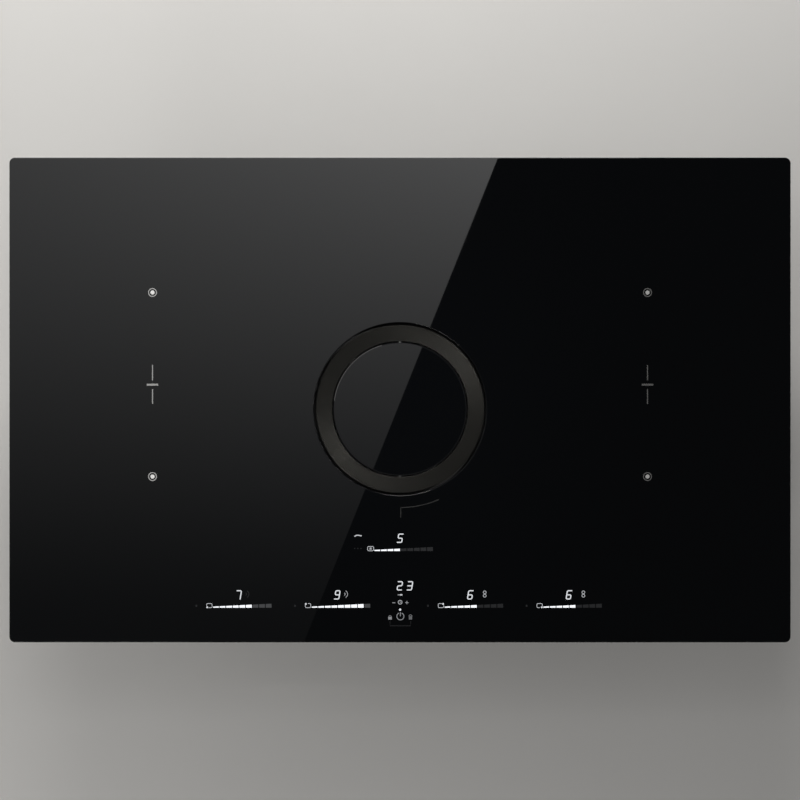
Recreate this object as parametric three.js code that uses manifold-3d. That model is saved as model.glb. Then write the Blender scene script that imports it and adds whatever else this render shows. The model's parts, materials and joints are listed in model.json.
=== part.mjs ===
// Downdraft induction cooktop. A black glass plate covers four induction coils, and a round inlet in its
// middle draws cooking vapour down through a grease filter into a blower box under the casing.
//
// Millimetres, +Z up. The origin is on the floor under the middle of the glass, and the cook stands at -Y.

import * as THREE from "three";
import { mergeVertices } from "three/addons/utils/BufferGeometryUtils.js";
import Module from "manifold-3d";

const wasm = await Module();
wasm.setup();

// ---------------------------------------------------------------------------------- driving dimensions

// Glass plate
const GLASS_WIDTH = 830;
const GLASS_DEPTH = 515;
const GLASS_THICKNESS = 4;
const GLASS_CORNER_RADIUS = 6;

// Foam strip between the glass and the worktop
const GASKET_WIDTH = 9;
const GASKET_HEIGHT = 2;
const GASKET_INSET = 3;

// Round inlet: a cast ring round a tilting flap
const INLET_BEHIND_MIDDLE = -9.6;
const RING_RADIUS = 89.2;
const RING_BAND = 17;
const RING_HEIGHT = 14;
const RING_SKIRT = 4;
const RING_WEB = 6;
const RING_GAP = 2.8;
const FLAP_GAP = 1.5;
const FLAP_CHAMFER = 0.8;
const FLAP_PLATE_INSET = 3.7;
const FLAP_PLATE_THICKNESS = 2;
const FLAP_BAR_WIDTH = 12;
const FLAP_BAR_BELOW_AXIS = 4.5;
const FLAP_AXIS_BELOW_GLASS = 4;
const FLAP_PIN_RADIUS = 2.5;
const FLAP_PIN_LENGTH = 24;
const BUSH_WALL = 1.4;
const BUSH_LENGTH = 9;
const RING_BOSS_WIDTH = 16;

// Collar and seal under the ring, and the shaft that hangs the filter
const SEAL_HEIGHT = 2;
const SEAL_EDGE = 0.7;
const COLLAR_WALL = 2;
const COLLAR_LEDGE_WIDTH = 8;
const COLLAR_FLANGE_WIDTH = 12;
const SHAFT_WALL = 2;
const SHAFT_FOOT_WIDTH = 8;
const SHAFT_BELOW_BOX_LID = 4;

// Grease filter basket
const FILTER_DEPTH = 89;
const FILTER_WALL = 1.5;
const FILTER_FLANGE_WIDTH = 7;
const FILTER_RADIUS = 75.5;
const FILTER_SHAFT_GAP = 2.5;
const FILTER_WINDOWS = 10;
const FILTER_WINDOW_WIDTH = 34;
const FILTER_WINDOW_HEIGHT = 52;
const FILTER_WINDOW_SILL = 22;
const FILTER_MESH_WALL = 1.5;
const FILTER_MESH_TOP_GAP = 4;
const GRIP_WIDTH = 60;
const GRIP_HEIGHT = 24;
const GRIP_BAR = 4;

// Casing that holds the coils and the electronics
const CASING_HEIGHT = 56;
const CASING_SHEET = 1;
const CASING_SIDE_INSET = 27;
const CASING_FRONT_INSET = 14;
const CASING_FLANGE = 6;
const VENT_SLOT_WIDTH = 3;
const VENT_SLOT_HEIGHT = 26;
const VENT_SLOT_PITCH = 12;
const VENT_SLOTS_IN_ROW = 8;

// Coils and their carriers
const COIL_WIDTH = 196;
const COIL_HEIGHT = 7;
const COIL_EYE_WIDTH = 62;
const COIL_EYE_DEPTH = 48;
const COIL_CORNER_RADIUS = 40;
const COIL_EYE_CORNER_RADIUS = 16;
const COIL_GAP = 13.5;
const COIL_SIDE_GAP = 26.1;
const COIL_REAR_GAP = 37.3;
const COIL_PLATE_FRONT_GAP = 4.7;
const COIL_GLASS_GAP = 3;
const COIL_PLATE_SHEET = 2;
const COIL_PLATE_MARGIN = 10;
const COIL_PLATE_LEG = 30;
const SENSOR_RADIUS = 7;

// Power electronics and their fans
const BOARD_THICKNESS = 2;
const POWER_BOARD_WIDTH = 190;
const POWER_BOARD_DEPTH = 270;
const POST_WIDTH = 8;
const BOARD_POST_HEIGHT = 8;
const BOARD_POST_INSET = 8;
const CHOKE_SIZE = 22;
const HEATSINK_WIDTH = 92;
const HEATSINK_DEPTH = 140;
const HEATSINK_BASE = 5;
const HEATSINK_HEIGHT = 26;
const HEATSINK_FINS = 9;
const HEATSINK_FIN = 2;
const FAN_SIZE = 80;
const FAN_HEIGHT = 20;
const FAN_POST_HEIGHT = 8;
const FAN_POST_INSET = 5;
const FAN_BORE_RADIUS = 37;
const FAN_HUB_RADIUS = 15;
const FAN_BLADES = 7;
const FAN_BLADE_CHORD = 15;
const FAN_BLADE_THICKNESS = 1.2;
const FAN_BLADE_PITCH_DEG = 35;
const FAN_ARM_WIDTH = 5;
const FAN_ARM_HEIGHT = 3;
const FAN_PIN_RADIUS = 2;
const FAN_PIN_HEIGHT = 8;
const FAN_TIP_GAP = 1.5;
const FAN_BOARD_GAP = 10;
const GRILLE_SLOTS = 7;
const GRILLE_SLOT_WIDTH = 5;

// Touch controls under the front of the glass
const CONTROL_WIDTH = 444;
const CONTROL_DEPTH = 50;
const CONTROL_TONGUE_WIDTH = 124;
const CONTROL_COLLAR_GAP = 11.4;
const CONTROL_FRONT_GAP = 6.5;
const CONTROL_BOARD_THICKNESS = 1.6;
const LIGHT_GUIDE_HEIGHT = 7.4;
const LIGHT_GUIDE_INSET = 4;
const CARRIER_SHEET = 2;
const CARRIER_LEG = 8;

// Mains terminal box under the casing
const TERMINAL_WIDTH = 84;
const TERMINAL_DEPTH = 72;
const TERMINAL_HEIGHT = 32;
const TERMINAL_WALL = 2;
const TERMINAL_SIDE_INSET = 52;
const TERMINAL_REAR_INSET = 10;
const TERMINAL_BLOCK_WIDTH = 30;
const TERMINAL_BLOCK_DEPTH = 52;
const TERMINAL_BLOCK_HEIGHT = 16;
const TERMINAL_WAYS = 5;
const LID_THICKNESS = 2;
const LID_BARREL_RADIUS = 1.8;
const LID_PIN_RADIUS = 1;
const LID_AXIS_BELOW_CASING = 5;
const LID_EAR_WIDTH = 4;
const LID_PULL_WIDTH = 20;
const LID_PULL_DEPTH = 3;
const GLAND_RADIUS = 11;
const GLAND_BORE_RADIUS = 6;
const GLAND_LENGTH = 18;
const GLAND_NUT_LENGTH = 7;
const GLAND_BELOW_CASING = 16;

// Suction box under the casing: the lower shell stands on the floor, the upper one is its lid
const BLOWER_BOX_HEIGHT = 157;
const BOX_WALL = 3;
const BOX_LEFT_OF_INLET = 130;
const BOX_RIGHT_OF_INLET = 350;
const BOX_FROM_CASING_WALL = 38.5;
const BOX_CORNER_RADIUS = 8;
const BOX_SEAM_ABOVE_SCROLL = 9;

// Blower
const BLOWER_RIGHT_OF_INLET = 195;
const BLOWER_FROM_BOX_FRONT = 152;
const SCROLL_WALL = 2;
const SCROLL_ABOVE_FLOOR = 13;
const SCROLL_TONGUE_DEG = 50;
const SCROLL_JOIN_DEG = 65;
const SCROLL_TIP_GAP = 7;
const SCROLL_GROWTH = 45;
const SCROLL_LEFT_WALL = 6;
const SCROLL_FOOT_RADIUS = 7;
const SCROLL_INLET_RADIUS = 64;
const IMPELLER_RADIUS = 85;
const IMPELLER_BLADES = 24;
const IMPELLER_BLADE_DEPTH = 16;
const IMPELLER_BLADE_THICKNESS = 1.4;
const IMPELLER_BLADE_LEAN_DEG = 9;
const IMPELLER_SHEET = 2;
const IMPELLER_END_GAP = 6;
const IMPELLER_HUB_RADIUS = 10;
const IMPELLER_HUB_HEIGHT = 12;
const IMPELLER_CROWN_RADIUS = 50;
const MOTOR_RADIUS = 40;
const MOTOR_HEIGHT = 46;
const MOTOR_SHOULDER = 5;
const MOTOR_PLATE_RADIUS = 52;
const MOTOR_PLATE_SHEET = 2;
const MOTOR_HUB_GAP = 4;
const MOTOR_SHAFT_RADIUS = 4;
const MOTOR_SHAFT_IN_MOTOR = 22;
const SPIGOT_WIDTH = 222;
const SPIGOT_HEIGHT = 89;
const SPIGOT_LENGTH = 30;
const SPIGOT_FLANGE = 8;
const SPIGOT_FLANGE_SHEET = 2;

// Drip drawer in the bottom of the suction box
const DRAWER_WIDTH = 156;
const DRAWER_LENGTH = 265;
const DRAWER_HEIGHT = 30;
const DRAWER_WALL = 2;
const DRAWER_FRONT_MARGIN = 8;
const DRAWER_FRONT_SHEET = 3;
const DRAWER_RAIL_HEIGHT = 1.7;
const DRAWER_RAIL_WIDTH = 6;
const DRAWER_PULL_WIDTH = 60;
const DRAWER_PULL_DEPTH = 8;

// Swivelling worktop clamps
const CLAMP_LENGTH = 50;
const CLAMP_WIDTH = 16;
const CLAMP_SHEET = 3;
const CLAMP_CLAW_HEIGHT = 14;
const CLAMP_FROM_CORNER = 188;
const CLAMP_WALL_INSET = 12;
const CLAMP_DROP = 13;
const CLAMP_SCREW_RADIUS = 2.5;
const CLAMP_HEAD_RADIUS = 5;
const CLAMP_HEAD_HEIGHT = 3;
const CLAMP_NUT_RADIUS = 6;
const CLAMP_NUT_HEIGHT = 7;

// Clearances
const RUNNING_GAP = 0.3;
const SLIDING_GAP = 0.5;
const LOOSE_GAP = 1;
const CUT_OVERSHOOT = 1;

// Facets of round shapes
const RING_FACETS = 60;
const DRUM_FACETS = 36;
const ROD_FACETS = 12;
const HEXAGON = 6;
const CORNER_FACETS = 3;
const SPIRAL_STEP_DEG = 15;

// ----------------------------------------------------------------------- levels and places that follow

const casingUnder = BLOWER_BOX_HEIGHT;
const casingFloor = casingUnder + CASING_SHEET;
const glassUnder = casingUnder + CASING_HEIGHT;
const glassTop = glassUnder + GLASS_THICKNESS;
const casingHalfWidth = GLASS_WIDTH / 2 - CASING_SIDE_INSET;
const casingHalfDepth = GLASS_DEPTH / 2 - CASING_FRONT_INSET;

const inletY = INLET_BEHIND_MIDDLE;
const ringInnerRadius = RING_RADIUS - RING_BAND;
const holeRadius = RING_RADIUS + RING_GAP;
const flapRadius = ringInnerRadius - FLAP_GAP;
const flapAxisZ = glassUnder - FLAP_AXIS_BELOW_GLASS;
const flapBarUnder = flapAxisZ - FLAP_BAR_BELOW_AXIS;
const pinBore = FLAP_PIN_RADIUS + RUNNING_GAP;
const pinMiddle = flapRadius - FLAP_GAP / 2;
const bushRadius = pinBore + BUSH_WALL;
const bushBore = bushRadius + RUNNING_GAP;
const ringUnder = glassTop - RING_HEIGHT;
const ledgeTop = ringUnder - SEAL_HEIGHT;
const shaftTop = ledgeTop - COLLAR_WALL;
const filterSeat = shaftTop - SHAFT_WALL;
const filterFloor = shaftTop - FILTER_DEPTH;
const filterFlangeRadius = FILTER_RADIUS + FILTER_FLANGE_WIDTH;
const meshRadius = FILTER_RADIUS - FILTER_WALL - RUNNING_GAP;
const shaftRadius = FILTER_RADIUS + FILTER_SHAFT_GAP;
const shaftSeatRadius = holeRadius - COLLAR_LEDGE_WIDTH;
const collarRadius = holeRadius + COLLAR_WALL + COLLAR_FLANGE_WIDTH;

const coilTop = glassUnder - COIL_GLASS_GAP;
const coilSeat = coilTop - COIL_HEIGHT;
const controlFront = -casingHalfDepth + CONTROL_FRONT_GAP;
const controlRear = controlFront + CONTROL_DEPTH;
const tongueRear = inletY - collarRadius - CONTROL_COLLAR_GAP;
const lightGuideUnder = glassUnder - LIGHT_GUIDE_HEIGHT;
const controlBoardUnder = lightGuideUnder - CONTROL_BOARD_THICKNESS;
const carrierUnder = controlBoardUnder - CARRIER_SHEET;

const coilsFront = controlRear + COIL_PLATE_FRONT_GAP + COIL_PLATE_MARGIN;
const coilsRear = casingHalfDepth - CASING_SHEET - COIL_REAR_GAP;
const coilDepth = (coilsRear - coilsFront - COIL_GAP) / 2;
const coilX = casingHalfWidth - CASING_SHEET - COIL_SIDE_GAP - COIL_WIDTH / 2;
const rearCoilY = coilsRear - coilDepth / 2;
const frontCoilY = coilsFront + coilDepth / 2;

const boardTop = casingFloor + BOARD_POST_HEIGHT + BOARD_THICKNESS;
const powerBoardY = coilsRear - POWER_BOARD_DEPTH / 2;
const fanY = coilsRear - POWER_BOARD_DEPTH - FAN_BOARD_GAP - FAN_SIZE / 2;

const boxUnderLid = BLOWER_BOX_HEIGHT - BOX_WALL;
const boxHalfDepth = casingHalfDepth - BOX_FROM_CASING_WALL;
const boxRearInside = boxHalfDepth - BOX_WALL;
const blowerX = BLOWER_RIGHT_OF_INLET;
const blowerY = -boxRearInside + BLOWER_FROM_BOX_FRONT;
const scrollUnder = BOX_WALL + SCROLL_ABOVE_FLOOR;
const scrollFloor = scrollUnder + SCROLL_WALL;
const scrollTop = scrollUnder + SPIGOT_HEIGHT;
const boxSeam = scrollTop + BOX_SEAM_ABOVE_SCROLL;
const scrollTongueRadius = IMPELLER_RADIUS + SCROLL_TIP_GAP;
const ductRight = blowerX + scrollTongueRadius + SCROLL_GROWTH;
const ductLeft = ductRight - (SPIGOT_WIDTH - 2 * SCROLL_WALL);
const motorTop = scrollUnder + MOTOR_HEIGHT;
const impellerHubUnder = motorTop + MOTOR_HUB_GAP;
const impellerTop = scrollTop - SCROLL_WALL - IMPELLER_END_GAP;
const impellerUnder = scrollFloor + IMPELLER_END_GAP;

const drawerUnder = BOX_WALL + DRAWER_RAIL_HEIGHT + RUNNING_GAP;
const drawerTop = drawerUnder + DRAWER_HEIGHT;

const terminalLeft = -casingHalfWidth + TERMINAL_SIDE_INSET;
const terminalRear = casingHalfDepth - TERMINAL_REAR_INSET;
const terminalFront = terminalRear - TERMINAL_DEPTH;
const terminalMiddleX = terminalLeft + TERMINAL_WIDTH / 2;
const terminalMiddleY = (terminalFront + terminalRear) / 2;
const terminalUnder = casingUnder - TERMINAL_HEIGHT;
const lidAxisX = terminalLeft - RUNNING_GAP - LID_THICKNESS - RUNNING_GAP;
const lidAxisZ = casingUnder - LID_AXIS_BELOW_CASING;
const glandZ = casingUnder - GLAND_BELOW_CASING;

const clampX = casingHalfWidth - CLAMP_FROM_CORNER;
const clampY = casingHalfDepth - CLAMP_WALL_INSET;
const clampTop = casingUnder - CLAMP_DROP;
const clampUnder = clampTop - CLAMP_SHEET;

// ------------------------------------------------------------------------------------------- materials

const finish = (color, roughness, metalness) =>
  new THREE.MeshStandardMaterial({ color, roughness, metalness });
const ceramicGlass = finish(0x0b0b0d, 0.08, 0);
const castIron = finish(0x353533, 0.45, 0.9);
const aluminium = finish(0xa9adb0, 0.4, 0.9);
const galvanised = finish(0x9a9d9f, 0.45, 0.85);
const stainless = finish(0xc0c2c4, 0.3, 0.95);
const copper = finish(0x9c5b32, 0.5, 0.6);
const circuitBoard = finish(0x1d5a34, 0.6, 0);
const blackPlastic = finish(0x1a1b1c, 0.6, 0);
const greyPlastic = finish(0x6a6d70, 0.65, 0);
const whitePlastic = finish(0xd8d9d6, 0.5, 0);
const rubber = finish(0x202020, 0.85, 0);
const brass = finish(0xb08d4a, 0.35, 0.9);

// --------------------------------------------------------------------------------------- shape helpers

const WELD = 1e-4;

/** Six times the volume inside a triangle list, negative when its faces point inwards. */
function signedVolume(points, corners) {
  const [a, b, c] = [new THREE.Vector3(), new THREE.Vector3(), new THREE.Vector3()];
  let total = 0;
  for (let i = 0; i < corners.length; i += 3) {
    a.fromArray(points, 3 * corners[i]);
    b.fromArray(points, 3 * corners[i + 1]);
    c.fromArray(points, 3 * corners[i + 2]);
    total += a.dot(b.cross(c));
  }
  return total;
}

/** A closed three.js geometry as a solid that can be joined and cut, its faces pointing out. */
function solid(geometry) {
  const bare = geometry.index ? geometry.toNonIndexed() : geometry;
  bare.deleteAttribute("normal");
  bare.deleteAttribute("uv");
  const merged = mergeVertices(bare, WELD);
  const points = new Float32Array(merged.attributes.position.array);
  const corners = [];
  for (let i = 0; i < merged.index.count; i += 3) {
    const [a, b, c] = [0, 1, 2].map((k) => merged.index.getX(i + k));
    if (a !== b && b !== c && c !== a) {
      corners.push(a, b, c);
    }
  }
  if (signedVolume(points, corners) < 0) {
    corners.reverse();
  }
  const triVerts = new Uint32Array(corners);
  return new wasm.Manifold(new wasm.Mesh({ numProp: 3, vertProperties: points, triVerts }));
}

function box(x0, x1, y0, y1, z0, z1) {
  const block = new THREE.BoxGeometry(x1 - x0, y1 - y0, z1 - z0);
  return solid(block.translate((x0 + x1) / 2, (y0 + y1) / 2, (z0 + z1) / 2));
}

/** A box centred on the Z axis. */
const centredBox = (width, depth, z0, z1) => box(-width / 2, width / 2, -depth / 2, depth / 2, z0, z1);

function disc(radius, z0, z1, facets = DRUM_FACETS) {
  const drum = new THREE.CylinderGeometry(radius, radius, z1 - z0, facets);
  return solid(drum.rotateX(Math.PI / 2).translate(0, 0, (z0 + z1) / 2));
}

/** What drills a round hole from z0 to z1, running past both. */
const drill = (radius, z0, z1, facets = DRUM_FACETS) =>
  disc(radius, z0 - CUT_OVERSHOOT, z1 + CUT_OVERSHOOT, facets);

/** A rod along Y from y0 to y1. */
const rodAlongY = (radius, y0, y1, facets = ROD_FACETS) =>
  solid(new THREE.CylinderGeometry(radius, radius, y1 - y0, facets).translate(0, (y0 + y1) / 2, 0));

/** A closed profile of [radius, height] corners turned about the Z axis. */
function turned(profile, facets = DRUM_FACETS) {
  const closed = [...profile, profile[0]].map(([r, z]) => new THREE.Vector2(r, z));
  return solid(new THREE.LatheGeometry(closed, facets).rotateX(Math.PI / 2));
}

const tube = (inner, outer, z0, z1, facets = DRUM_FACETS) =>
  turned([[inner, z0], [outer, z0], [outer, z1], [inner, z1]], facets);

function roundedRectangle(width, depth, radius) {
  const [x, y] = [width / 2, depth / 2];
  const shape = new THREE.Shape();
  shape.absarc(x - radius, y - radius, radius, 0, Math.PI / 2);
  shape.absarc(-x + radius, y - radius, radius, Math.PI / 2, Math.PI);
  shape.absarc(-x + radius, -y + radius, radius, Math.PI, 1.5 * Math.PI);
  shape.absarc(x - radius, -y + radius, radius, 1.5 * Math.PI, 2 * Math.PI);
  return shape;
}

const extruded = (outline, z0, z1) =>
  solid(
    new THREE.ExtrudeGeometry(outline, { depth: z1 - z0, bevelEnabled: false, curveSegments: CORNER_FACETS })
      .translate(0, 0, z0),
  );

const polygon = (corners) => new THREE.Shape(corners.map(([x, y]) => new THREE.Vector2(x, y)));

const at = (shape, x, y, z = 0) => shape.translate([x, y, z]);
const joined = (shapes) => shapes.reduce((whole, next) => whole.add(next));
const cut = (shape, tools) => tools.reduce((left, tool) => left.subtract(tool), shape);

/** The numbers 0 to count - 1. */
const indexes = (count) => Array.from({ length: count }, (_, i) => i);

const inOrder = (a, b) => [Math.min(a, b), Math.max(a, b)];

/** Offsets of count copies at a pitch, centred on zero. */
const spread = (count, pitch) => indexes(count).map((i) => (i - (count - 1) / 2) * pitch);

/** Copies of a shape turned evenly about the Z axis. */
const turnedCopies = (shape, count, startDeg = 0) =>
  indexes(count).map((i) => shape.rotate([0, 0, startDeg + (360 * i) / count]));

const cooktop = new THREE.Group();

/** Adds a named mesh of a solid to the cooktop, standing at a place. */
function add(name, shape, material, x = 0, y = 0, z = 0) {
  const { vertProperties, triVerts } = shape.getMesh();
  const geometry = new THREE.BufferGeometry();
  geometry.setAttribute("position", new THREE.BufferAttribute(vertProperties, 3));
  geometry.setIndex(new THREE.BufferAttribute(triVerts, 1));
  const mesh = new THREE.Mesh(geometry, material);
  mesh.name = name;
  mesh.position.set(x, y, z);
  cooktop.add(mesh);
}

const SIDES = [["left", -1], ["right", 1]];
const ENDS = [["front", -1], ["rear", 1]];

// ----------------------------------------------------------------------------------------------- glass

function glassPlate() {
  const outline = roundedRectangle(GLASS_WIDTH, GLASS_DEPTH, GLASS_CORNER_RADIUS);
  const hole = at(drill(holeRadius, glassUnder, glassTop, RING_FACETS), 0, inletY);
  return cut(extruded(outline, glassUnder, glassTop), [hole]);
}

function worktopGasket() {
  const width = GLASS_WIDTH - 2 * GASKET_INSET;
  const depth = GLASS_DEPTH - 2 * GASKET_INSET;
  const [z0, z1] = [glassUnder - GASKET_HEIGHT, glassUnder];
  const inside = centredBox(
    width - 2 * GASKET_WIDTH,
    depth - 2 * GASKET_WIDTH,
    z0 - CUT_OVERSHOOT,
    z1 + CUT_OVERSHOOT,
  );
  return cut(centredBox(width, depth, z0, z1), [inside]);
}

add("glass_top", glassPlate(), ceramicGlass);
add("worktop_gasket", worktopGasket(), rubber);

// ----------------------------------------------------------------------------------------- round inlet

/** The ring: a web between two skirts, with a bored boss for each end of the flap's axis. */
function inletRing() {
  const webUnder = glassTop - RING_WEB;
  const body = turned(
    [
      [ringInnerRadius, ringUnder],
      [ringInnerRadius + RING_SKIRT, ringUnder],
      [ringInnerRadius + RING_SKIRT, webUnder],
      [RING_RADIUS - RING_SKIRT, webUnder],
      [RING_RADIUS - RING_SKIRT, ringUnder],
      [RING_RADIUS, ringUnder],
      [RING_RADIUS, glassTop],
      [ringInnerRadius, glassTop],
    ],
    RING_FACETS,
  );
  const bossStart = ringInnerRadius + RING_SKIRT / 2;
  const bossEnd = RING_RADIUS - RING_SKIRT / 2;
  const halfBoss = RING_BOSS_WIDTH / 2;
  const boreEnd = ringInnerRadius + BUSH_LENGTH + LOOSE_GAP;
  const bosses = ENDS.map(([, side]) => {
    const [y0, y1] = inOrder(side * bossStart, side * bossEnd);
    return box(-halfBoss, halfBoss, y0, y1, ringUnder, webUnder + CUT_OVERSHOOT);
  });
  const bores = ENDS.map(([, side]) => {
    const [y0, y1] = inOrder(side * flapRadius, side * boreEnd);
    return at(rodAlongY(bushBore, y0, y1), 0, 0, flapAxisZ);
  });
  return cut(joined([body, ...bosses]), bores);
}

function flapGlass() {
  return turned(
    [
      [0, glassUnder],
      [flapRadius, glassUnder],
      [flapRadius, glassTop - FLAP_CHAMFER],
      [flapRadius - FLAP_CHAMFER, glassTop],
      [0, glassTop],
    ],
    RING_FACETS,
  );
}

/** The metal plate bonded under the flap's glass, with a bar that takes the two pins. */
function flapCarrier() {
  const plate = disc(flapRadius - FLAP_PLATE_INSET, glassUnder - FLAP_PLATE_THICKNESS, glassUnder);
  const barHalfLength = flapRadius - LOOSE_GAP / 2;
  const bar = centredBox(FLAP_BAR_WIDTH, 2 * barHalfLength, flapBarUnder, glassUnder);
  const within = disc(flapRadius - LOOSE_GAP / 2, flapBarUnder - CUT_OVERSHOOT, glassTop, RING_FACETS);
  const bores = ENDS.map(([, side]) => {
    const [y0, y1] = inOrder(side * (pinMiddle - FLAP_PIN_LENGTH / 2 - RUNNING_GAP), side * ringInnerRadius);
    return at(rodAlongY(pinBore, y0, y1), 0, 0, flapAxisZ);
  });
  return cut(plate.add(bar).intersect(within), bores);
}

add("inlet_ring", inletRing(), castIron, 0, inletY);
add("flap_glass", flapGlass(), ceramicGlass, 0, inletY);
add("flap_carrier", flapCarrier(), aluminium, 0, inletY);

for (const [end, side] of ENDS) {
  const bushMiddle = ringInnerRadius + LOOSE_GAP / 2 + BUSH_LENGTH / 2;
  const bush = rodAlongY(bushRadius, -BUSH_LENGTH / 2, BUSH_LENGTH / 2);
  const bore = rodAlongY(pinBore, -BUSH_LENGTH, BUSH_LENGTH);
  add(`flap_bush_${end}`, cut(bush, [bore]), brass, 0, inletY + side * bushMiddle, flapAxisZ);
  const pin = rodAlongY(FLAP_PIN_RADIUS, -FLAP_PIN_LENGTH / 2, FLAP_PIN_LENGTH / 2);
  add(`flap_pin_${end}`, pin, stainless, 0, inletY + side * pinMiddle, flapAxisZ);
}

/** The moulded collar bonded under the glass: its ledge carries the ring's seal. */
function intakeCollar() {
  const outer = holeRadius + COLLAR_WALL;
  return turned([
    [shaftSeatRadius, shaftTop],
    [outer, shaftTop],
    [outer, glassUnder - COLLAR_WALL],
    [collarRadius, glassUnder - COLLAR_WALL],
    [collarRadius, glassUnder],
    [holeRadius, glassUnder],
    [holeRadius, ledgeTop],
    [shaftSeatRadius, ledgeTop],
  ]);
}

/** The shaft from the collar down into the suction box, with the filter's seat near its top. */
function intakeShaft() {
  const outer = shaftRadius + SHAFT_WALL;
  const seatOuter = shaftSeatRadius + SHAFT_WALL;
  const footTop = casingFloor + SHAFT_WALL;
  return turned([
    [shaftRadius, boxUnderLid - SHAFT_BELOW_BOX_LID],
    [outer, boxUnderLid - SHAFT_BELOW_BOX_LID],
    [outer, casingFloor],
    [outer + SHAFT_FOOT_WIDTH, casingFloor],
    [outer + SHAFT_FOOT_WIDTH, footTop],
    [outer, footTop],
    [outer, filterSeat - SHAFT_WALL],
    [seatOuter, filterSeat - SHAFT_WALL],
    [seatOuter, shaftTop],
    [shaftSeatRadius, shaftTop],
    [shaftSeatRadius, filterSeat],
    [shaftRadius, filterSeat],
  ]);
}

const collarSeal = tube(shaftSeatRadius + SEAL_EDGE, holeRadius - SEAL_EDGE, ledgeTop, ringUnder);
add("intake_collar", intakeCollar(), blackPlastic, 0, inletY);
add("collar_seal", collarSeal, rubber, 0, inletY);
add("intake_shaft", intakeShaft(), blackPlastic, 0, inletY);

// --------------------------------------------------------------------------------------- grease filter

function filterBasket() {
  const inner = FILTER_RADIUS - FILTER_WALL;
  const basket = turned([
    [0, filterFloor],
    [FILTER_RADIUS, filterFloor],
    [FILTER_RADIUS, filterSeat],
    [filterFlangeRadius, filterSeat],
    [filterFlangeRadius, shaftTop],
    [inner, shaftTop],
    [inner, filterFloor + FILTER_WALL],
    [0, filterFloor + FILTER_WALL],
  ]);
  const sill = filterFloor + FILTER_WINDOW_SILL;
  const window = box(
    inner - CUT_OVERSHOOT,
    FILTER_RADIUS + CUT_OVERSHOOT,
    -FILTER_WINDOW_WIDTH / 2,
    FILTER_WINDOW_WIDTH / 2,
    sill,
    sill + FILTER_WINDOW_HEIGHT,
  );
  return cut(basket, turnedCopies(window, FILTER_WINDOWS));
}

/** A bent bar that stands on the basket's floor, to lift it by. */
function filterGrip() {
  const half = GRIP_WIDTH / 2;
  const outline = polygon([
    [-half, 0],
    [-half + GRIP_BAR, 0],
    [-half + GRIP_BAR, GRIP_HEIGHT - GRIP_BAR],
    [half - GRIP_BAR, GRIP_HEIGHT - GRIP_BAR],
    [half - GRIP_BAR, 0],
    [half, 0],
    [half, GRIP_HEIGHT - GRIP_BAR],
    [half - GRIP_BAR, GRIP_HEIGHT],
    [-half + GRIP_BAR, GRIP_HEIGHT],
    [-half, GRIP_HEIGHT - GRIP_BAR],
  ]);
  return extruded(outline, -GRIP_BAR / 2, GRIP_BAR / 2).rotate([90, 0, 0]);
}

const basketInside = filterFloor + FILTER_WALL;
const meshTop = shaftTop - FILTER_MESH_TOP_GAP;
const filterMesh = tube(meshRadius - FILTER_MESH_WALL, meshRadius, basketInside, meshTop);
add("filter_basket", filterBasket(), stainless, 0, inletY);
add("filter_mesh", filterMesh, stainless, 0, inletY);
add("filter_grip", filterGrip(), stainless, 0, inletY, basketInside);

// ---------------------------------------------------------------------------------------------- casing

/** Long slots side by side in a round field under the left fan; the right one stands over the suction box. */
function fanGrille() {
  const pitch = (2 * FAN_BORE_RADIUS) / GRILLE_SLOTS;
  return spread(GRILLE_SLOTS, pitch).map((x) => {
    const reach = Math.sqrt(FAN_BORE_RADIUS ** 2 - x ** 2) - LOOSE_GAP;
    const [z0, z1] = [casingUnder - CUT_OVERSHOOT, casingFloor + CUT_OVERSHOOT];
    return box(x - GRILLE_SLOT_WIDTH / 2, x + GRILLE_SLOT_WIDTH / 2, -reach, reach, z0, z1);
  });
}

/** A row of upright slots in each side wall and two in the rear wall. */
function wallVents() {
  const middle = (casingFloor + glassUnder) / 2;
  const [z0, z1] = [middle - VENT_SLOT_HEIGHT / 2, middle + VENT_SLOT_HEIGHT / 2];
  const reach = CASING_SHEET + CUT_OVERSHOOT;
  const half = VENT_SLOT_WIDTH / 2;
  const row = spread(VENT_SLOTS_IN_ROW, VENT_SLOT_PITCH);
  const inSides = SIDES.flatMap(([, side]) =>
    row.map((y) => at(box(-reach, reach, -half, half, z0, z1), side * casingHalfWidth, y + frontCoilY)),
  );
  const inRear = SIDES.flatMap(([, side]) =>
    row.map((x) => at(box(-half, half, -reach, reach, z0, z1), x + side * coilX, casingHalfDepth)),
  );
  return [...inSides, ...inRear];
}

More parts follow.
